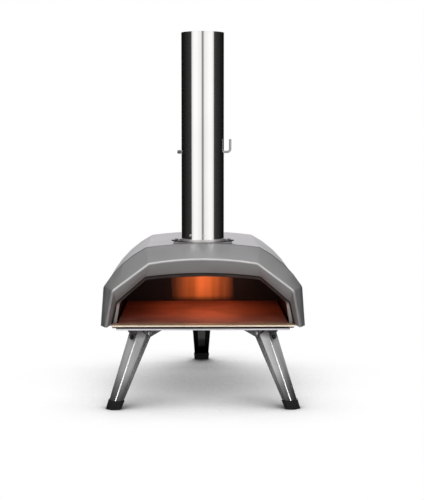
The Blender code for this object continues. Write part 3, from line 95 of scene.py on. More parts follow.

# Where a finish changes, as a start and an end from an edge or a height of its piece; all but the lip's top and
# the collar's edge bound painted light: the highlight on the nose's ridge, shade on its sides and shadow along its
# joint with the casing, shadow in the mouth's joint and shade above the mouth's sides, shade under the lip and at
# the foot of the back wall

RIDGE_HIGHLIGHT_BAND = (0.0006, 0.0015)
RIDGE_RISE = (0.0, 0.006)
NOSE_SEAM_SHADOW = (0.0550, 0.0565)
NOSE_SIDE_SHADE = (-0.014, -0.009)
MOUTH_JOINT_SHADOW = (0.0, 0.006)
MOUTH_UPPER_SHADE = (-0.006, 0.004)
LIP_TOP = (-0.0006, 0.0002)
LIP_UNDERSIDE_SHADE = (-0.0035, -0.0026)
BACK_FOOT_SHADE = (0.001, 0.012)
COLLAR_EDGE = (0.0041, 0.0048)

# Distances to either side of the chimney's middle between which the flange's shine fades

FLANGE_SHINE = (0.016, 0.052)

# Heights above the ground where a finish changes: where the painted highlight on the nose's ridge begins, where
# the painted shade in the mouth begins, and where the painted highlight on the legs' ridges ends

NOSE_BRIGHT_Z = 0.236
MOUTH_UPPER_SHADE_Z = 0.213
LEG_HIGHLIGHT_END = (0.128, 0.138)

# The middle of the threshold lip's roll, below its top

LIP_ROLL = 0.0017

# How far the straw tint reaches on the back wall, and its share of the chamber's depth

STRAW_WIDTH = 0.050
STRAW_HEIGHT = 0.12
STRAW_DEPTH_SHARE = 0.3

# Colours of the painted highlights on the nose's and the legs' ridges, of the bare turned collar, and of the
# gasket

NOSE_RIDGE_HIGHLIGHT = (0.46, 0.455, 0.45)
LEG_RIDGE_HIGHLIGHT = (0.80, 0.80, 0.79)
TURNED_COLLAR = (0.60, 0.58, 0.57)
GASKET_GREY = (0.40, 0.40, 0.41)

# Brush lines: how dense the pattern is along each axis, and least along the lines

LINES_ALONG_X = (14.0, 900.0, 900.0)
LINES_ALONG_Y = (900.0, 14.0, 900.0)
LINES_ALONG_LEG = (1500.0, 1500.0, 20.0)

# Painted shade by height in metres, and the height that the legs' and the pan's painted shading ends below: how
# strong the painted shadow along the nose's joint with the casing is; the front legs with painted shade at the top
# and a painted dark reflection towards the bottom; the rear leg painted as in shadow; the pan with painted shade
# under the lip

SHADE_TOP = 0.2
SEAM_SHADOW_HEIGHTS = ((0.262, 0.0), (0.272, 0.9), (0.316, 0.9), (0.326, 0.2))
LEG_SHADE = ((0.02, 0.20), (0.045, 0.45), (0.075, 1.0), (0.135, 1.1), (0.150, 0.35))
REAR_LEG_SHADE = ((0.030, 0.03), (0.048, 0.06), (0.056, 0.19), (0.150, 0.28))
PAN_SHADE = ((0.1626, 1.2), (0.1634, 0.03))

# The studio that polished steel reflects: brightness by direction, from the back (0) to the front (1)

WALLS = (
    (0.0, 0.85), (0.015, 0.70), (0.035, 0.003), (0.30, 0.012), (0.60, 0.035), (0.725, 0.06), (0.750, 0.80),
    (0.79, 1.00), (0.85, 1.13), (0.93, 1.13), (0.9950, 0.98), (0.9975, 0.70), (0.9988, 0.28), (1.0, 0.25),
)
ABOVE = ((0.0, 0.64), (0.30, 0.80), (0.45, 1.05), (0.58, 1.05), (0.80, 0.66), (1.0, 0.66))

# The soft light on everything that doesn't mirror

SOFT_LIGHT = 0.62

# The slopes where the light above takes over from the walls

ABOVE_FROM = (0.25, 0.55)

# The height from which the floor's walls are reckoned, and the slopes where they begin

MIRROR_EYE_Z = 0.4
FLOOR_DROP = (-0.75, -0.5)

# The floor's shadow: brightness by openness, broad and near, and the extra shade by depth behind the nose

BROAD_REACH = 0.45
CONTACT_REACH = 0.16
LEAN_REACH = 1.0
SHADOW = ((0.0, 0.03), (0.12, 0.25), (0.27, 0.43), (0.42, 0.56), (0.66, 0.95), (0.74, 1.0))
CONTACT = ((0.0, 0.08), (0.5, 0.22), (0.80, 0.60), (0.93, 0.92), (0.99, 1.0))
LEAN = ((0.0, 0.0), (0.15, 0.0), (0.45, 0.13), (0.62, 0.10), (0.85, 0.0))

# Softboxes: name, place, size, power and whether polished steel reflects them

SOFTBOXES = (
    ("top_softbox", (0.0, -0.7, 2.2), (2.4, 1.0), 20.0, True),
    ("front_softbox", (0.0, -2.6, 1.95), (2.0, 0.7), 36.0, False),
    ("edge_softbox_left", (-1.7, -1.7, 1.9), (0.35, 1.1), 16.0, True),
    ("edge_softbox_right", (1.7, -1.7, 1.9), (0.35, 1.1), 16.0, True),
)
SOFTBOX_TARGET = (0.0, 0.0, 0.3)

# The glow in the chamber

GLOW_COLOUR = (1.0, 0.34, 0.14)
ROOF_GAP = 0.006
EMBER_X = 0.015
EMBER_FROM_BACK = 0.16
EMBER_SIZE = (0.12, 0.24)
EMBER_POWER = 0.75
FLAME_X = 0.01
FLAME_FROM_BACK = 0.05
FLAME_TARGET_Z = 0.205
FLAME_SIZE = (0.07, 0.02)
FLAME_POWER = 0.085

# The camera, its distance taken from the nose's front, with lens and sensor in millimetres

CAMERA_X = -0.0175
CAMERA_DISTANCE = 2.446
CAMERA_Z = 0.543
CAMERA_PITCH = math.radians(5.17)
CAMERA_TURN = math.radians(-0.818)
CAMERA_LENS = 90.0
CAMERA_SENSOR = 36.0


# Sizes and colours that a user may change


class OvenSizes(bpy.types.PropertyGroup):
    """Sizes of the rounded edges, the round chimney and the floor."""

    nose_edge: bpy.props.FloatProperty(
        name="Nose edge", description="Radius on the cast nose's edges", default=0.0010, min=0.0002,
        unit="LENGTH",
    )
    leg_bend: bpy.props.FloatProperty(
        name="Leg bend", description="Radius of the bends in the leg channels", default=0.0030, min=0.0002,
        unit="LENGTH",
    )
    cut_edge: bpy.props.FloatProperty(
        name="Cut edge", description="Radius on the cut edges of thin sheet", default=0.0002, min=0.00005,
        unit="LENGTH",
    )
    boot_edge: bpy.props.FloatProperty(
        name="Boot edge", description="Radius on the rubber feet", default=0.0012, min=0.0002, unit="LENGTH"
    )
    flue_steps: bpy.props.IntProperty(
        name="Flue steps", description="Sides of the round chimney", default=128, min=24
    )
    floor_size: bpy.props.FloatProperty(
        name="Floor size", description="Side of the studio floor", default=40.0, min=2.0, unit="LENGTH"
    )


def colour_property(name, description, default):
    return bpy.props.FloatVectorProperty(
        name=name, description=description, default=default, subtype="COLOR", size=3, min=0.0, max=1.0
    )


class OvenColours(bpy.types.PropertyGroup):
    """Colours of the finishes."""

    cast: colour_property("Cast nose", "Bead-blasted grey steel of the nose", (0.235, 0.232, 0.236))
    mouth: colour_property("Mouth frame", "Darker steel strip inside the nose", (0.41, 0.41, 0.415))
    shell: colour_property("Casing", "Brushed steel of the casing and firebox", (0.565, 0.545, 0.57))
    leg: colour_property("Legs", "Brushed steel of the legs", (0.50, 0.50, 0.50))
    flue: colour_property("Chimney", "Bright rolled steel of the chimney", (0.87, 0.855, 0.84))
    lip: colour_property("Threshold", "Rolled lip, warmed by heat", (0.74, 0.62, 0.50))
    straw: colour_property("Straw tint", "Lightest heat tint in the chamber", (0.62, 0.27, 0.10))
    bronze: colour_property("Bronze tint", "Darkest heat tint in the chamber", (0.010, 0.005, 0.004))
    dark: colour_property("Dark steel", "Trays, grate, socket and brackets", (0.085, 0.085, 0.09))
    stone: colour_property("Stone", "Fired ceramic of the baking stone", (0.13, 0.037, 0.022))
    felt: colour_property("Felt", "Ceramic fibre", (0.78, 0.77, 0.73))
    rubber: colour_property("Rubber", "Feet", (0.006, 0.006, 0.0065))
    grip: colour_property("Grip", "Handles and lock buttons", (0.02, 0.02, 0.021))
    zinc: colour_property("Zinc", "Bolts, pins and rivets", (0.40, 0.40, 0.41))


def sizes():
    return bpy.context.scene.oven_sizes


def colours():
    return bpy.context.scene.oven_colours


# Node graphs for the finishes


class NodeTree:
    """A node tree with short ways to add its nodes."""

    def __init__(self, tree):
        self.tree = tree

    def add(self, kind, inputs=None, **settings):
        """A node with its settings, and its inputs as plain values or as sockets to link."""
        node = self.tree.nodes.new(kind)
        for key, value in settings.items():
            setattr(node, key, value)
        for key, value in (inputs or {}).items():
            if isinstance(value, bpy.types.NodeSocket):
                self.tree.links.new(value, node.inputs[key])
            else:
                node.inputs[key].default_value = value
        return node

    def maths(self, operation, first, second=0.0):
        return self.add("ShaderNodeMath", {0: first, 1: second}, operation=operation).outputs[0]

    def vector(self, operation, first, second=(0.0, 0.0, 0.0)):
        return self.add("ShaderNodeVectorMath", {0: first, 1: second}, operation=operation).outputs[0]

    def coordinates(self):
        """Object coordinates in metres."""
        return self.add("ShaderNodeTexCoord").outputs["Object"]

    def axes(self, vector=None):
        """The three parts of a vector, or else of the object coordinates."""
        if vector is None:
            vector = self.coordinates()
        return tuple(self.add("ShaderNodeSeparateXYZ", {0: vector}).outputs)

    def length(self, vector):
        return self.add("ShaderNodeVectorMath", {0: vector}, operation="LENGTH").outputs["Value"]

    def place(self, stretch=(1.0, 1.0, 1.0), turn=(0.0, 0.0, 0.0)):
        """Object coordinates, turned and stretched."""
        inputs = {"Vector": self.coordinates(), "Rotation": turn}
        turned = self.add("ShaderNodeMapping", inputs, vector_type="POINT")
        scaled = self.add("ShaderNodeMapping", {"Vector": turned.outputs["Vector"], "Scale": stretch})
        return scaled.outputs["Vector"]

    def noise(self, vector, scale, detail=3.0, roughness=0.55):
        inputs = {"Vector": vector, "Scale": scale, "Detail": detail, "Roughness": roughness}
        return self.add("ShaderNodeTexNoise", inputs).outputs["Fac"]

    def between(self, value, low, high, from_low=0.3, from_high=0.7):
        """A value mapped to a range from low to high; the defaults suit a noise's usual values."""
        inputs = {"Value": value, "From Min": from_low, "From Max": from_high, "To Min": low, "To Max": high}
        return self.add("ShaderNodeMapRange", inputs).outputs["Result"]

    def ramp(self, value, stops):
        """A colour ramp from (position, colour) stops."""
        node = self.add("ShaderNodeValToRGB", {"Fac": value})
        elements = node.color_ramp.elements
        while len(elements) < len(stops):
            elements.new(0.5)
        for element, (position, colour) in zip(elements, stops):
            element.position = position
            element.color = (*colour, 1.0)
        return node.outputs["Color"]

    def mixed(self, share, first, second, blend="MIX"):
        """Two colours mixed by a share."""
        node = self.add("ShaderNodeMix", {0: share}, data_type="RGBA", blend_type=blend)
        for key, value in (("A", first), ("B", second)):
            if isinstance(value, bpy.types.NodeSocket):
                self.tree.links.new(value, node.inputs[key])
            else:
                node.inputs[key].default_value = (*value, 1.0)
        return node.outputs["Result"]

    def glow(self, colour, strength):
        if not isinstance(colour, bpy.types.NodeSocket):
            colour = (*colour, 1.0)
        return self.add("ShaderNodeEmission", {"Color": colour, "Strength": strength}).outputs[0]


class Finish(NodeTree):
    """A material's node tree with its Principled BSDF."""

    def __init__(self, name, colour, roughness, metallic):
        self.material = bpy.data.materials.new(name)
        self.material.use_nodes = True
        super().__init__(self.material.node_tree)
        self.shader = self.tree.nodes["Principled BSDF"]
        self.shader.inputs["Base Color"].default_value = (*colour, 1.0)
        self.shader.inputs["Roughness"].default_value = roughness
        self.shader.inputs["Metallic"].default_value = metallic

    def colour(self, socket):
        self.tree.links.new(socket, self.shader.inputs["Base Color"])

    def metallic(self, socket):
        self.tree.links.new(socket, self.shader.inputs["Metallic"])

    def roughness(self, socket):
        self.tree.links.new(socket, self.shader.inputs["Roughness"])

    def bump(self, height, distance, strength=1.0):
        inputs = {"Height": height, "Distance": distance, "Strength": strength}
        normal = self.add("ShaderNodeBump", inputs).outputs["Normal"]
        self.tree.links.new(normal, self.shader.inputs["Normal"])


def grey(value):
    return (value, value, value)


def greys(stops):
    """Colour stops from (position, value) stops."""
    return [(position, grey(value)) for position, value in stops]


def shade(colour, share):
    """The colour made darker or lighter."""
    return tuple(min(1.0, part * share) for part in colour)


def past(edge, steps):
    """Places at steps past an edge."""
    return tuple(edge + step for step in steps)


def satin_steel(name, colour, front, side, bright_z):
    """Bead-blasted and coated steel, with a painted highlight on the upper front ridge, painted shade on its sides
    and a painted shadow along its joint with the casing.
    """
    graph = Finish(name, colour, 0.56, 0.75)
    where = graph.place()
    grain = graph.noise(where, 1400.0, detail=2.0)
    cloud = graph.noise(where, 14.0)
    coated = graph.ramp(cloud, ((0.3, shade(colour, 0.93)), (0.7, shade(colour, 1.06))))
    x, y, z = graph.axes()
    # Painted shade on the nose's sides
    side_shade = graph.between(graph.maths("ABSOLUTE", x), 0.0, 0.30, *past(side, NOSE_SIDE_SHADE))
    # Painted shadow along the joint between the nose and the casing, by height
    behind = graph.between(y, 0.0, 1.0, *past(front, NOSE_SEAM_SHADOW))
    seam_shadow = graph.maths("MULTIPLY", behind, graph.ramp(z, greys(SEAM_SHADOW_HEIGHTS)))
    seam_shadowed = graph.mixed(seam_shadow, graph.mixed(side_shade, coated, grey(0.0)), grey(0.03))
    # Painted highlight: a paler colour on the upper front ridge
    ridge = graph.between(y, 1.0, 0.0, *past(front, RIDGE_HIGHLIGHT_BAND))
    upper = graph.between(z, 0.0, 1.0, *past(bright_z, RIDGE_RISE))
    painted_highlight = graph.maths("MULTIPLY", ridge, upper)
    graph.colour(graph.mixed(painted_highlight, seam_shadowed, NOSE_RIDGE_HIGHLIGHT))
    graph.roughness(graph.between(cloud, 0.51, 0.62))
    graph.bump(grain, 0.00012, 0.35)
    return graph.material


def mouth_strip(name, colour, start, upper_shade_z):
    """The strip inside the nose: a painted black shadow in the joint behind the nose's edge, and painted shade
    above the sides.
    """
    graph = Finish(name, colour, 0.42, 0.5)
    y, z = graph.axes()[1:]
    # Painted shadow: black in the joint behind the nose's edge
    depth = graph.between(y, 0.0, 1.0, *past(start, MOUTH_JOINT_SHADOW))
    joint = graph.ramp(depth, ((0.0, grey(0.004)), (0.45, grey(0.01)), (0.7, colour)))
    cloud = graph.noise(graph.place(), 30.0)
    # Painted shade above the sides, with a little random mottling
    height = graph.between(z, 0.0, 0.85, *past(upper_shade_z, MOUTH_UPPER_SHADE))
    upper_shade = graph.maths("ADD", height, graph.between(cloud, 0.0, 0.1))
    graph.colour(graph.mixed(upper_shade, joint, grey(0.02)))
    graph.roughness(graph.between(cloud, 0.38, 0.52))
    return graph.material


def tempered_lip(name, colour, roll_z):
    """The rolled lip: copper tones on its top, bright on the roll, with painted shade underneath."""
    graph = Finish(name, colour, 0.26, 0.6)
    height = graph.axes()[2]
    tint = graph.noise(graph.place((1.0, 6.0, 6.0)), 16.0, detail=2.0)
    coppers = ((0.35, (0.36, 0.20, 0.13)), (0.5, (0.40, 0.30, 0.17)), (0.65, (0.42, 0.24, 0.16)))
    warm = graph.ramp(tint, coppers)
    top = graph.between(height, 0.0, 1.0, *past(roll_z, LIP_TOP))
    # Painted shade under the roll
    underside_shade = graph.between(height, 1.0, 0.0, *past(roll_z, LIP_UNDERSIDE_SHADE))
    graph.colour(graph.mixed(underside_shade, graph.mixed(top, colour, warm), (0.02, 0.016, 0.012)))
    lines = graph.noise(graph.place((8.0, 900.0, 900.0)), 1.0, detail=4.0)
    graph.roughness(graph.between(lines, 0.20, 0.34))
    return graph.material


def scratched_steel(name, colour, roughness, stretch, turn=(0.0, 0.0, 0.0)):
    """A finish with long fine scratches, with the colour and the roughness that they give it."""
    graph = Finish(name, colour, roughness, 1.0)
    lines = graph.noise(graph.place(stretch, turn), 1.0, detail=4.0, roughness=0.7)
    cloud = graph.noise(graph.place(), 9.0)
    value = graph.between(graph.maths("MULTIPLY", lines, cloud), 0.0, 1.0, 0.12, 0.42)
    scratched = graph.ramp(value, ((0.0, shade(colour, 0.86)), (1.0, shade(colour, 1.1))))
    graph.bump(lines, 0.00002, 0.12)
    return graph, scratched, graph.between(lines, roughness - 0.05, roughness + 0.07)


def height_shaded(graph, colour, height_shades):
    """The colour with painted shade by height, brighter or darker."""
    height = graph.between(graph.axes()[2], 0.0, 1.0, 0.0, SHADE_TOP)
    dim = graph.ramp(height, greys((z / SHADE_TOP, value) for z, value in height_shades))
    return graph.mixed(1.0, colour, dim, "MULTIPLY")


def brushed_steel(name, colour, roughness, stretch, height_shades=()):
    """Scratched steel, with painted shade by height where such shading is given."""
    graph, scratched, rough = scratched_steel(name, colour, roughness, stretch)
    graph.colour(height_shaded(graph, scratched, height_shades) if height_shades else scratched)
    graph.roughness(rough)
    return graph.material


def leg_steel(name, colour, turn, height_shades):
    """Brushed steel with a painted highlight on the ridges up to a height, and painted shade in the creases and on
    the flanges.
    """
    graph, scratched, rough = scratched_steel(name, colour, 0.21, LINES_ALONG_LEG, turn)
    bend = graph.add("ShaderNodeAttribute", attribute_name="bend").outputs["Fac"]
    # Painted highlight on the ridges up to a height: pale, not metallic and rougher
    ridge = graph.between(bend, 0.0, 1.0, 0.80, 0.88)
    painted_highlight = graph.maths("MULTIPLY", ridge, graph.between(graph.axes()[2], 1.0, 0.0, *LEG_HIGHLIGHT_END))
    # Painted shade in the creases, and less of it on the flanges
    crease_shade = graph.between(bend, 0.0, 0.72, -0.7, CREASE)
    dimmed = graph.mixed(crease_shade, height_shaded(graph, scratched, height_shades), grey(0.03))
    graph.colour(graph.mixed(painted_highlight, dimmed, LEG_RIDGE_HIGHLIGHT))
    graph.metallic(graph.maths("SUBTRACT", 1.0, painted_highlight))
    graph.roughness(graph.maths("MAXIMUM", rough, graph.maths("MULTIPLY", painted_highlight, 0.6)))
    return graph.material


def rolled_steel(name, colour):
    """Bright chimney steel: nearly a mirror, with faint streaks up the tube."""
    graph = Finish(name, colour, 0.08, 1.0)
    streaks = graph.noise(graph.place((260.0, 260.0, 3.0)), 1.0, detail=3.0)
    haze = graph.noise(graph.place(), 7.0)
    graph.roughness(graph.between(streaks, 0.05, 0.11))
    graph.colour(graph.ramp(haze, ((0.25, shade(colour, 0.95)), (0.75, shade(colour, 1.04)))))
    graph.bump(streaks, 0.00001, 0.1)
    return graph.material


def heat_tinted(name, light, dark, middle, reach):
    """Chamber steel: straw in the middle of the back, darkening through bronze to nearly black away from it, with
    painted shade at its foot.
    """
    graph = Finish(name, light, 0.34, 0.5)
    offset = graph.vector("SUBTRACT", graph.coordinates(), middle)
    distance = graph.length(graph.vector("DIVIDE", offset, reach))
    wander = graph.noise(graph.place((1.0, 1.0, 0.04)), 48.0, detail=3.0)
    ranged = graph.between(graph.maths("ADD", distance, wander), 0.0, 1.0, 0.5, 1.9)
    half = tuple((bright + dim) / 2 for bright, dim in zip(light, dark))
    tinted = graph.ramp(ranged, ((0.0, light), (0.55, half), (1.0, dark)))
    stone_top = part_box("baking_stone")[1][2]
    # Painted shade at the foot of the back wall, just above the stone
    foot = graph.between(graph.axes()[2], 0.85, 0.0, *past(stone_top, BACK_FOOT_SHADE))
    graph.colour(graph.mixed(foot, tinted, dark))
    graph.roughness(graph.between(wander, 0.30, 0.55))
    graph.bump(wander, 0.0003, 0.2)
    return graph.material


def painted_steel(name, colour):
    """Dark steel with a satin, slightly pebbled coat, lighter in patches of wear."""
    graph = Finish(name, colour, 0.48, 0.6)
    where = graph.place()
    pebble = graph.noise(where, 900.0, detail=2.0)
    wear = graph.noise(where, 60.0, detail=6.0)
    graph.colour(graph.ramp(wear, ((0.45, colour), (0.75, shade(colour, 2.0)))))
    graph.roughness(graph.between(wear, 0.40, 0.58))
    graph.bump(pebble, 0.0001, 0.4)
    return graph.material


def collar_steel(name, colour, flue):
    """Dark flange, bright on the collar's edge, with a painted sheen in the middle; flue is the chimney tube's
    box.
    """
    graph = Finish(name, colour, 0.36, 0.9)
    low, high = flue
    axis = ((low[0] + high[0]) / 2, (low[1] + high[1]) / 2, 0.0)
    coordinates = graph.place()
    flat = graph.vector("MULTIPLY", graph.vector("SUBTRACT", coordinates, axis), (1.0, 1.0, 0.0))
    edge = graph.between(graph.length(flat), 1.0, 0.0, *past((high[0] - low[0]) / 2, COLLAR_EDGE))
    # Painted sheen, strongest in the middle of the flange
    shine = graph.between(graph.maths("ABSOLUTE", graph.axes(flat)[0]), 0.72, 0.0, *FLANGE_SHINE)
    wear = graph.noise(coordinates, 60.0, detail=5.0)
    graph.colour(graph.mixed(graph.maths("MAXIMUM", edge, shine), shade(colour, 0.6), TURNED_COLLAR))
    graph.roughness(graph.between(wear, 0.30, 0.46))
    return graph.material


def baked_stone(name, colour):
    """Fired ceramic: a sandy surface with dark and pale specks and a few scorch marks."""
    graph = Finish(name, colour, 0.9, 0.0)
    where = graph.place()
    grain = graph.noise(where, 700.0, detail=4.0, roughness=0.7)
    scorch = graph.noise(where, 9.0, detail=4.0)
    base = graph.ramp(grain, ((0.32, shade(colour, 0.55)), (0.5, colour), (0.72, shade(colour, 1.5))))
    marks = graph.ramp(scorch, ((0.38, (0.55, 0.50, 0.48)), (0.6, (1.0, 1.0, 1.0))))
    graph.colour(graph.mixed(1.0, base, marks, "MULTIPLY"))
    graph.bump(grain, 0.0004, 0.5)
    return graph.material


def fibre_felt(name, colour):
    """Ceramic fibre, a little darker between its fibres."""
    graph = Finish(name, colour, 0.95, 0.0)
    fibres = graph.noise(graph.place((900.0, 300.0, 900.0)), 1.0, detail=5.0)
    graph.colour(graph.ramp(fibres, ((0.3, shade(colour, 0.8)), (0.7, colour))))
    graph.bump(fibres, 0.0006, 0.6)
    return graph.material


def moulded(name, colour, roughness):
    """Black rubber or plastic with a fine spark-eroded grain."""
    graph = Finish(name, colour, roughness, 0.0)
    graph.shader.inputs["Specular IOR Level"].default_value = 0.1
    where = graph.place()
    grain = graph.noise(where, 1100.0, detail=2.0)
    dust = graph.noise(where, 40.0)
    graph.colour(graph.ramp(dust, ((0.4, colour), (0.8, shade(colour, 1.7)))))
    graph.roughness(graph.between(dust, roughness - 0.05, roughness + 0.08))
    graph.bump(grain, 0.00015, 0.4)
    return graph.material


def bright_zinc(name, colour):
    """Zinc plate with a fine spangle."""
    graph = Finish(name, colour, 0.28, 1.0)
    spangle = graph.noise(graph.place(), 500.0)
    graph.roughness(graph.between(spangle, 0.22, 0.38))
    graph.bump(spangle, 0.00005, 0.3)
    return graph.material


def leg_joint(side):
    """The frame's row for the joint that folds a leg."""
    for joint in frame["joints"]:
        if joint["name"] == side + "_leg_fold":
            return joint
    raise RuntimeError("no fold joint for the leg at " + side)


def leg_turn(side):
    """The turn that lays a leg's own length along Z, for its brush lines."""
    axis = leg_joint(side)["axis"]
    azimuth = math.atan2(axis[1], axis[0])
    turn = Matrix.Rotation(azimuth, 3, "Z") @ Matrix.Rotation(-LEG_LEAN, 3, "X")
    return tuple(turn.inverted().to_euler())


def finishes():
    """The material of every slot in the record, and of the nodes with a finish of their own."""
    tint = colours()
    nose, back, chamber = (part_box(node) for node in ("nose", "rear_baffle", "chamber_liner"))
    middle = (0.0, back[0][1], (back[0][2] + back[1][2]) / 2)
    reach = (STRAW_WIDTH, (chamber[1][1] - chamber[0][1]) * STRAW_DEPTH_SHARE, STRAW_HEIGHT)
    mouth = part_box("mouth_frame")[0][1]
    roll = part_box("threshold_lip")[1][2] - LIP_ROLL
    made = {
        "cast_grey_steel": satin_steel("cast_grey_steel", tint.cast, nose[0][1], nose[1][0], NOSE_BRIGHT_Z),
        "mouth_steel": mouth_strip("mouth_steel", tint.mouth, mouth, MOUTH_UPPER_SHADE_Z),
        "brushed_shell_steel": brushed_steel("brushed_shell_steel", tint.shell, 0.34, LINES_ALONG_Y),
        "polished_flue_steel": rolled_steel("polished_flue_steel", tint.flue),
        "warm_lip_steel": tempered_lip("warm_lip_steel", tint.lip, roll),
        "heat_tinted_steel": heat_tinted("heat_tinted_steel", tint.straw, tint.bronze, middle, reach),
        "dark_steel": painted_steel("dark_steel", tint.dark),
        "baking_stone": baked_stone("baking_stone", tint.stone),
        "ceramic_felt": fibre_felt("ceramic_felt", tint.felt),
        "black_rubber": moulded("black_rubber", tint.rubber, 0.62),
        "black_grip": moulded("black_grip", tint.grip, 0.42),
        "zinc_fasteners": bright_zinc("zinc_fasteners", tint.zinc),
        # The pan, with painted shade under the lip
        "base_pan": brushed_steel("pan_steel", tint.shell, 0.34, LINES_ALONG_X, PAN_SHADE),
        "chimney_gasket": fibre_felt("pale_felt", GASKET_GREY),
        "chimney_socket": collar_steel("collar_steel", tint.dark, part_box("chimney_tube")),
    }
    for side in LEG_SIDES:
        node = side + "_leg"
        # Painted shade by height: the rear leg as in shadow, the front legs shaded at the top and with a dark
        # reflection towards the bottom
        height_shades = REAR_LEG_SHADE if side == "rear" else LEG_SHADE
        made[node] = leg_steel(node + "_steel", tint.leg, leg_turn(side), height_shades)
    return made


def slot_of(node):
    for row in frame["record"]["subparts"]:
        if row["node"] == node:
            return row["material_slot"]
    raise RuntimeError("no material slot for " + node)


# The materials by slot or node, made once

MADE = {}


def finish_for(node):
    """The finish of a node: one of its own, or else its slot's."""
    if not MADE:
        MADE.update(finishes())
    return MADE.get(node) or MADE[slot_of(node)]


# Making pieces


def body_of_node(node):
    for body, members in frame["record"]["behaviour"]["bodies"].items():
        if node in members:
            return body
    raise RuntimeError("no body for " + node)


def finished_piece(shape, name, node):
    """Turns a bmesh into the piece that stands for a node, with its finish, body and slot."""
    mesh = bpy.data.meshes.new(name)
    shape.to_mesh(mesh)
    shape.free()
    mesh.shade_smooth()
    mesh.set_sharp_from_angle(angle=SMOOTH_ANGLE)
    piece = bpy.data.objects.new(name, mesh)
    bpy.context.scene.collection.objects.link(piece)
    mesh.materials.append(finish_for(node))
    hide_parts(node)
    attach(piece, body_of_node(node))
    return piece


def merged_copy(node):
    """A bmesh of the node's solid with its triangles merged back into whole faces."""
    shape = bmesh.new()
    shape.from_mesh(NODES[node].data)
    bmesh.ops.remove_doubles(shape, verts=shape.verts, dist=MERGE_DISTANCE)
    bmesh.ops.dissolve_limit(
        shape, angle_limit=FLAT_ANGLE, verts=shape.verts, edges=shape.edges, delimit=set()
    )
    return shape


def rounded(shape, radius, segments, least, most=math.pi, shortest=0.0, chosen=lambda edge: True):
    """Rounds the edges whose faces turn by more than least and less than most; gives the new faces."""
    edges = []
    for edge in shape.edges:
        if len(edge.link_faces) != 2 or not chosen(edge):
            continue
        angle = edge.calc_face_angle(0.0)
        if least < angle < most and edge.calc_length() > shortest:
            edges.append(edge)
    made = bmesh.ops.bevel(
        shape,
        geom=edges,
        offset=radius,
        offset_type="OFFSET",
        affect="EDGES",
        segments=segments,
        profile=0.5,
        material=-1,
        clamp_overlap=True,
    )
    return made["faces"]


def rounded_node(node, radius, segments=2, least=SHEET_TURN):
    """The node's solid with rounded edges, as a piece of its own."""
    shape = merged_copy(node)
    rounded(shape, radius, segments, least)
    return finished_piece(shape, node + "_formed", node)


def mark_bends(shape, bends, side):
    """Tells the leg's finish which corners of its faces lie on a ridge, in a crease or on a flange, for its
    painted highlight on ridges and painted shade in creases and on flanges.
    """
    joint = leg_joint(side)
    pivot, axis = Vector(joint["pos_m"]), Vector(joint["axis"])

    def across(place):
        return abs((place - pivot).dot(axis))

    slope_start, slope_end = LEG_SLOPE
    ridge = PLAIN if side == "rear" else RIDGE
    mark = shape.loops.layers.float.new("bend")
    for face in shape.faces:
        middle = across(face.calc_center_median())
        for loop in face.loops:
            if face in bends:
                loop[mark] = ridge if middle < LEG_RIDGE_END else CREASE
            elif slope_start < middle < slope_end:
                loop[mark] = ridge if across(loop.vert.co) < LEG_RIDGE_CORNER else CREASE
            else:
                loop[mark] = PLAIN if middle < slope_end else FLANGE


def bent_leg(side, radius):
    """A leg channel with real bend radii, marked for its finish."""
    node = side + "_leg"
    shape = merged_copy(node)
    outward = {edge for edge in shape.edges if len(edge.link_faces) == 2 and edge.is_convex}
    bends = set(rounded(shape, radius, 4, *LEG_BENDS, lambda edge: edge in outward))
    mark_bends(shape, bends, side)
    rounded(shape, max(radius - LEG_SHEET, LEAST_BEND), 3, *LEG_BENDS, lambda edge: not edge.is_convex)
    return finished_piece(shape, node + "_formed", node)


def smooth_group():
    """A modifier tree that shades a solid smooth and keeps its real edges sharp."""
    group = bpy.data.node_groups.new("smooth_by_angle", "GeometryNodeTree")
    for direction in ("INPUT", "OUTPUT"):
        group.interface.new_socket("Geometry", in_out=direction, socket_type="NodeSocketGeometry")
    graph = NodeTree(group)
    solid = graph.add("NodeGroupInput").outputs[0]
    inputs = {"Geometry": solid, "Distance": MERGE_DISTANCE}
    merged = graph.add("GeometryNodeMergeByDistance", inputs).outputs["Geometry"]
    smooth = graph.add("GeometryNodeSetShadeSmooth", {"Geometry": merged}).outputs["Geometry"]
    angle = graph.add("GeometryNodeInputMeshEdgeAngle").outputs["Unsigned Angle"]
    inputs = {"A": angle, "B": SMOOTH_ANGLE}
    compare = graph.add("FunctionNodeCompare", inputs, data_type="FLOAT", operation="GREATER_THAN")
    inputs = {"Geometry": smooth, "Selection": compare.outputs["Result"], "Shade Smooth": False}
    creased = graph.add("GeometryNodeSetShadeSmooth", inputs, domain="EDGE").outputs["Geometry"]
    graph.add("NodeGroupOutput", {0: creased})
    return group


# Stage


def surroundings(graph, direction):
    """What polished steel reflects in a direction: dark sides, and light in front, behind and above."""
    flat = graph.vector("NORMALIZE", graph.vector("MULTIPLY", direction, (1.0, 1.0, 0.0)))
    front = graph.add("ShaderNodeVectorMath", {0: flat, 1: (0.0, -0.5, 0.0)}, operation="DOT_PRODUCT")
    toward = graph.maths("ADD", front.outputs["Value"], 0.5)
    walls, above = (graph.ramp(toward, greys(stops)) for stops in (WALLS, ABOVE))
    return graph.mixed(graph.between(graph.axes(direction)[2], 0.0, 1.0, *ABOVE_FROM), walls, above)


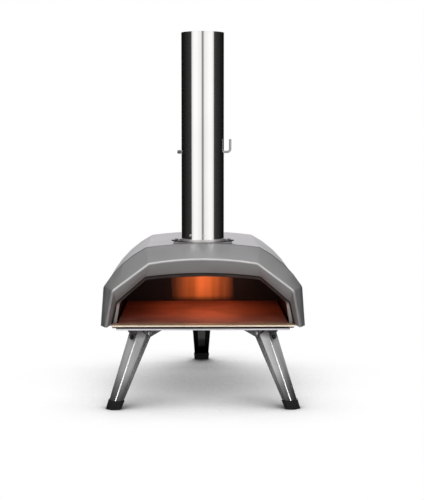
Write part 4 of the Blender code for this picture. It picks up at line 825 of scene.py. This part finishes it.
def floor_shadow(graph):
    """White, darkened by how much of the oven stands near and over a place on the floor."""

    def openness(distance):
        return graph.add("ShaderNodeAmbientOcclusion", {"Distance": distance}, samples=8).outputs["AO"]

    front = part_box("nose")[0][1]
    depth = graph.between(graph.axes()[1], 0.0, 1.0, front, front + LEAN_REACH)
    leaning = graph.maths("SUBTRACT", openness(BROAD_REACH), graph.ramp(depth, greys(LEAN)))
    broad = graph.ramp(leaning, greys(SHADOW))
    contact = graph.ramp(openness(CONTACT_REACH), greys(CONTACT))
    return graph.mixed(1.0, broad, contact, "MULTIPLY")


def make_floor():
    """A white floor; polished steel sees the dark sides of the studio on it."""
    shape = bmesh.new()
    bmesh.ops.create_grid(shape, x_segments=1, y_segments=1, size=sizes().floor_size / 2)
    mesh = bpy.data.meshes.new("studio_floor")
    shape.to_mesh(mesh)
    shape.free()
    floor = bpy.data.objects.new("studio_floor", mesh)
    bpy.context.scene.collection.objects.link(floor)
    graph = Finish("studio_floor", grey(0.7), 0.9, 0.0)
    graph.shader.inputs["Specular IOR Level"].default_value = 0.0
    path = graph.add("ShaderNodeLightPath").outputs
    inputs = {0: path["Is Camera Ray"], 1: graph.shader.outputs[0], 2: graph.glow(floor_shadow(graph), 1.0)}
    lit = graph.add("ShaderNodeMixShader", inputs).outputs[0]
    eye = (0.0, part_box("chimney_tube")[0][1], MIRROR_EYE_Z)
    direction = graph.vector("NORMALIZE", graph.vector("SUBTRACT", graph.coordinates(), eye))
    seen = graph.glow(surroundings(graph, direction), 1.0)
    drop = graph.between(graph.axes(direction)[2], 0.0, 1.0, *FLOOR_DROP)
    share = graph.maths("MULTIPLY", drop, path["Is Glossy Ray"])
    mixed = graph.add("ShaderNodeMixShader", {0: share, 1: lit, 2: seen}).outputs[0]
    graph.tree.links.new(mixed, graph.tree.nodes["Material Output"].inputs["Surface"])
    mesh.materials.append(graph.material)


def make_world():
    """White behind the oven, soft light on matt faces, and the studio's walls in polished ones."""
    world = bpy.data.worlds.new("studio")
    world.use_nodes = True
    bpy.context.scene.world = world
    world.node_tree.nodes.clear()
    graph = NodeTree(world.node_tree)
    direction = graph.add("ShaderNodeTexCoord").outputs["Generated"]
    path = graph.add("ShaderNodeLightPath").outputs
    pure = (*grey(1.0), 1.0)
    soft = graph.add("ShaderNodeBackground", {"Color": pure, "Strength": SOFT_LIGHT}).outputs[0]
    walls = graph.add("ShaderNodeBackground", {"Color": surroundings(graph, direction)}).outputs[0]
    white = graph.add("ShaderNodeBackground", {"Color": pure}).outputs[0]
    lit = graph.add("ShaderNodeMixShader", {0: path["Is Glossy Ray"], 1: soft, 2: walls}).outputs[0]
    shown = graph.add("ShaderNodeMixShader", {0: path["Is Camera Ray"], 1: lit, 2: white}).outputs[0]
    graph.add("ShaderNodeOutputWorld", {"Surface": shown})


def area_lamp(name, place, target, size, power, reflected, colour=(1.0, 1.0, 1.0)):
    """A soft lamp at a place, turned to a target; power is in watts."""
    light = bpy.data.lights.new(name, "AREA")
    light.shape = "RECTANGLE"
    light.size, light.size_y = size
    light.energy = power
    light.color = colour
    lamp = bpy.data.objects.new(name, light)
    bpy.context.scene.collection.objects.link(lamp)
    lamp.location = place
    lamp.rotation_euler = (Vector(target) - Vector(place)).to_track_quat("-Z", "Y").to_euler()
    lamp.visible_glossy = reflected
    return lamp


def make_lamps():
    """Softboxes round the oven, and two small lamps under the chamber's roof for its glow."""
    for name, place, size, power, reflected in SOFTBOXES:
        area_lamp(name, place, SOFTBOX_TARGET, size, power, reflected)
    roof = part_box("chamber_liner")[1][2] - ROOF_GAP
    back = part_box("rear_baffle")[0][1]
    ember = (EMBER_X, back - EMBER_FROM_BACK)
    area_lamp("ember_glow", (*ember, roof), (*ember, 0.0), EMBER_SIZE, EMBER_POWER, False, GLOW_COLOUR)
    flame = (FLAME_X, back - FLAME_FROM_BACK, roof)
    wall = (FLAME_X, back, FLAME_TARGET_Z)
    area_lamp("flame_glow", flame, wall, FLAME_SIZE, FLAME_POWER, False, GLOW_COLOUR)


def make_camera():
    """The photograph's view: a long lens in front of the mouth, a little above the roof."""
    camera = bpy.data.cameras.new("camera")
    camera.sensor_width = CAMERA_SENSOR
    camera.lens = CAMERA_LENS
    view = bpy.data.objects.new("camera", camera)
    bpy.context.scene.collection.objects.link(view)
    view.location = (CAMERA_X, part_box("nose")[0][1] - CAMERA_DISTANCE, CAMERA_Z)
    view.rotation_euler = Euler((math.radians(90) - CAMERA_PITCH, 0.0, CAMERA_TURN))
    bpy.context.scene.camera = view


# Operators and panel


class OvenOperator:
    """What the operators share."""

    bl_options = {"REGISTER", "UNDO"}


class OVEN_OT_finishes(OvenOperator, bpy.types.Operator):
    """Gives every solid its finish and smooth shading"""

    bl_idname = "oven.finishes"
    bl_label = "Finish the solids"

    def execute(self, context):
        group = smooth_group()
        for name, node in NODES.items():
            node.data.materials.clear()
            node.data.materials.append(finish_for(name))
            node.modifiers.new("smooth", "NODES").node_group = group
        return {"FINISHED"}


class OVEN_OT_nose(OvenOperator, bpy.types.Operator):
    """Rounds the cast nose and the strip inside it"""

    bl_idname = "oven.nose"
    bl_label = "Nose and mouth frame"

    def execute(self, context):
        rounded_node("nose", sizes().nose_edge, 3, NOSE_TURN)
        rounded_node("mouth_frame", sizes().cut_edge)
        return {"FINISHED"}


class OVEN_OT_casing(OvenOperator, bpy.types.Operator):
    """Rounds the cut edges of the casing's and the firebox's sheets"""

    bl_idname = "oven.casing"
    bl_label = "Casing and firebox"

    def execute(self, context):
        for node in ("rear_panel", "base_pan", "threshold_lip", "stone_tray", "hatch_lid"):
            rounded_node(node, sizes().cut_edge)
        return {"FINISHED"}


class OVEN_OT_legs(OvenOperator, bpy.types.Operator):
    """Bends the leg channels and rounds the rubber feet"""

    bl_idname = "oven.legs"
    bl_label = "Legs and feet"

    def execute(self, context):
        for side in LEG_SIDES:
            bent_leg(side, sizes().leg_bend)
            rounded_node(side + "_foot", sizes().boot_edge, 3, BOOT_TURN)
            rounded_node(side + "_leg_bracket", sizes().cut_edge, 2, BRACKET_TURN)
        return {"FINISHED"}


class OVEN_OT_chimney(OvenOperator, bpy.types.Operator):
    """Rolls the chimney tube"""

    bl_idname = "oven.chimney"
    bl_label = "Chimney"

    def execute(self, context):
        low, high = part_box("chimney_tube")
        centre = ((low[0] + high[0]) / 2, (low[1] + high[1]) / 2, 0.0)
        outer = (high[0] - low[0]) / 2
        inner = outer - FLUE_WALL
        below_top = high[2] - FLUE_LIP
        profile = [(inner, low[2]), (outer, low[2]), (outer, below_top), (outer - FLUE_LIP, high[2])]
        profile += [(inner + FLUE_LIP, high[2]), (inner, below_top)]
        shape = bmesh.new()
        verts = [shape.verts.new((centre[0] + radius, centre[1], z)) for radius, z in profile]
        edges = [shape.edges.new(pair) for pair in zip(verts, verts[1:] + verts[:1])]
        bmesh.ops.spin(
            shape, geom=verts + edges, cent=centre, axis=(0.0, 0.0, 1.0), angle=2 * math.pi,
            steps=sizes().flue_steps, use_merge=True, use_duplicate=False,
        )
        bmesh.ops.remove_doubles(shape, verts=shape.verts, dist=MERGE_DISTANCE)
        bmesh.ops.recalc_face_normals(shape, faces=shape.faces)
        finished_piece(shape, "rolled_flue", "chimney_tube")
        return {"FINISHED"}


class OVEN_OT_stone(OvenOperator, bpy.types.Operator):
    """Gives the stone whole faces"""

    bl_idname = "oven.stone"
    bl_label = "Baking stone"

    def execute(self, context):
        finished_piece(merged_copy("baking_stone"), "fired_stone", "baking_stone")
        return {"FINISHED"}


class OVEN_OT_stage(OvenOperator, bpy.types.Operator):
    """Sets the floor, the lamps, the world and the camera"""

    bl_idname = "oven.stage"
    bl_label = "Stage"

    def execute(self, context):
        make_floor()
        make_world()
        make_lamps()
        make_camera()
        context.scene.view_settings.view_transform = "Standard"
        return {"FINISHED"}


class OVEN_PT_panel(bpy.types.Panel):
    """Lists the oven's operators, sizes and colours."""

    bl_label = "Pizza oven"
    bl_idname = "OVEN_PT_panel"
    bl_space_type = "VIEW_3D"
    bl_region_type = "UI"
    bl_category = "Pizza oven"

    def draw(self, context):
        layout = self.layout
        for operator in OPERATORS:
            layout.operator(operator.bl_idname)
        for group in (context.scene.oven_sizes, context.scene.oven_colours):
            for name in group.__annotations__:
                layout.prop(group, name)


OPERATORS = (
    OVEN_OT_finishes,
    OVEN_OT_nose,
    OVEN_OT_casing,
    OVEN_OT_legs,
    OVEN_OT_chimney,
    OVEN_OT_stone,
    OVEN_OT_stage,
)
CLASSES = (OvenSizes, OvenColours) + OPERATORS + (OVEN_PT_panel,)


def register():
    for cls in CLASSES:
        bpy.utils.register_class(cls)
    bpy.types.Scene.oven_sizes = bpy.props.PointerProperty(type=OvenSizes)
    bpy.types.Scene.oven_colours = bpy.props.PointerProperty(type=OvenColours)


def unregister():
    del bpy.types.Scene.oven_colours
    del bpy.types.Scene.oven_sizes
    for cls in reversed(CLASSES):
        bpy.utils.unregister_class(cls)


def main():
    register()
    bpy.ops.oven.finishes()
    bpy.ops.oven.nose()
    bpy.ops.oven.casing()
    bpy.ops.oven.legs()
    bpy.ops.oven.chimney()
    bpy.ops.oven.stone()
    bpy.ops.oven.stage()


if __name__ == "__main__":
    main()
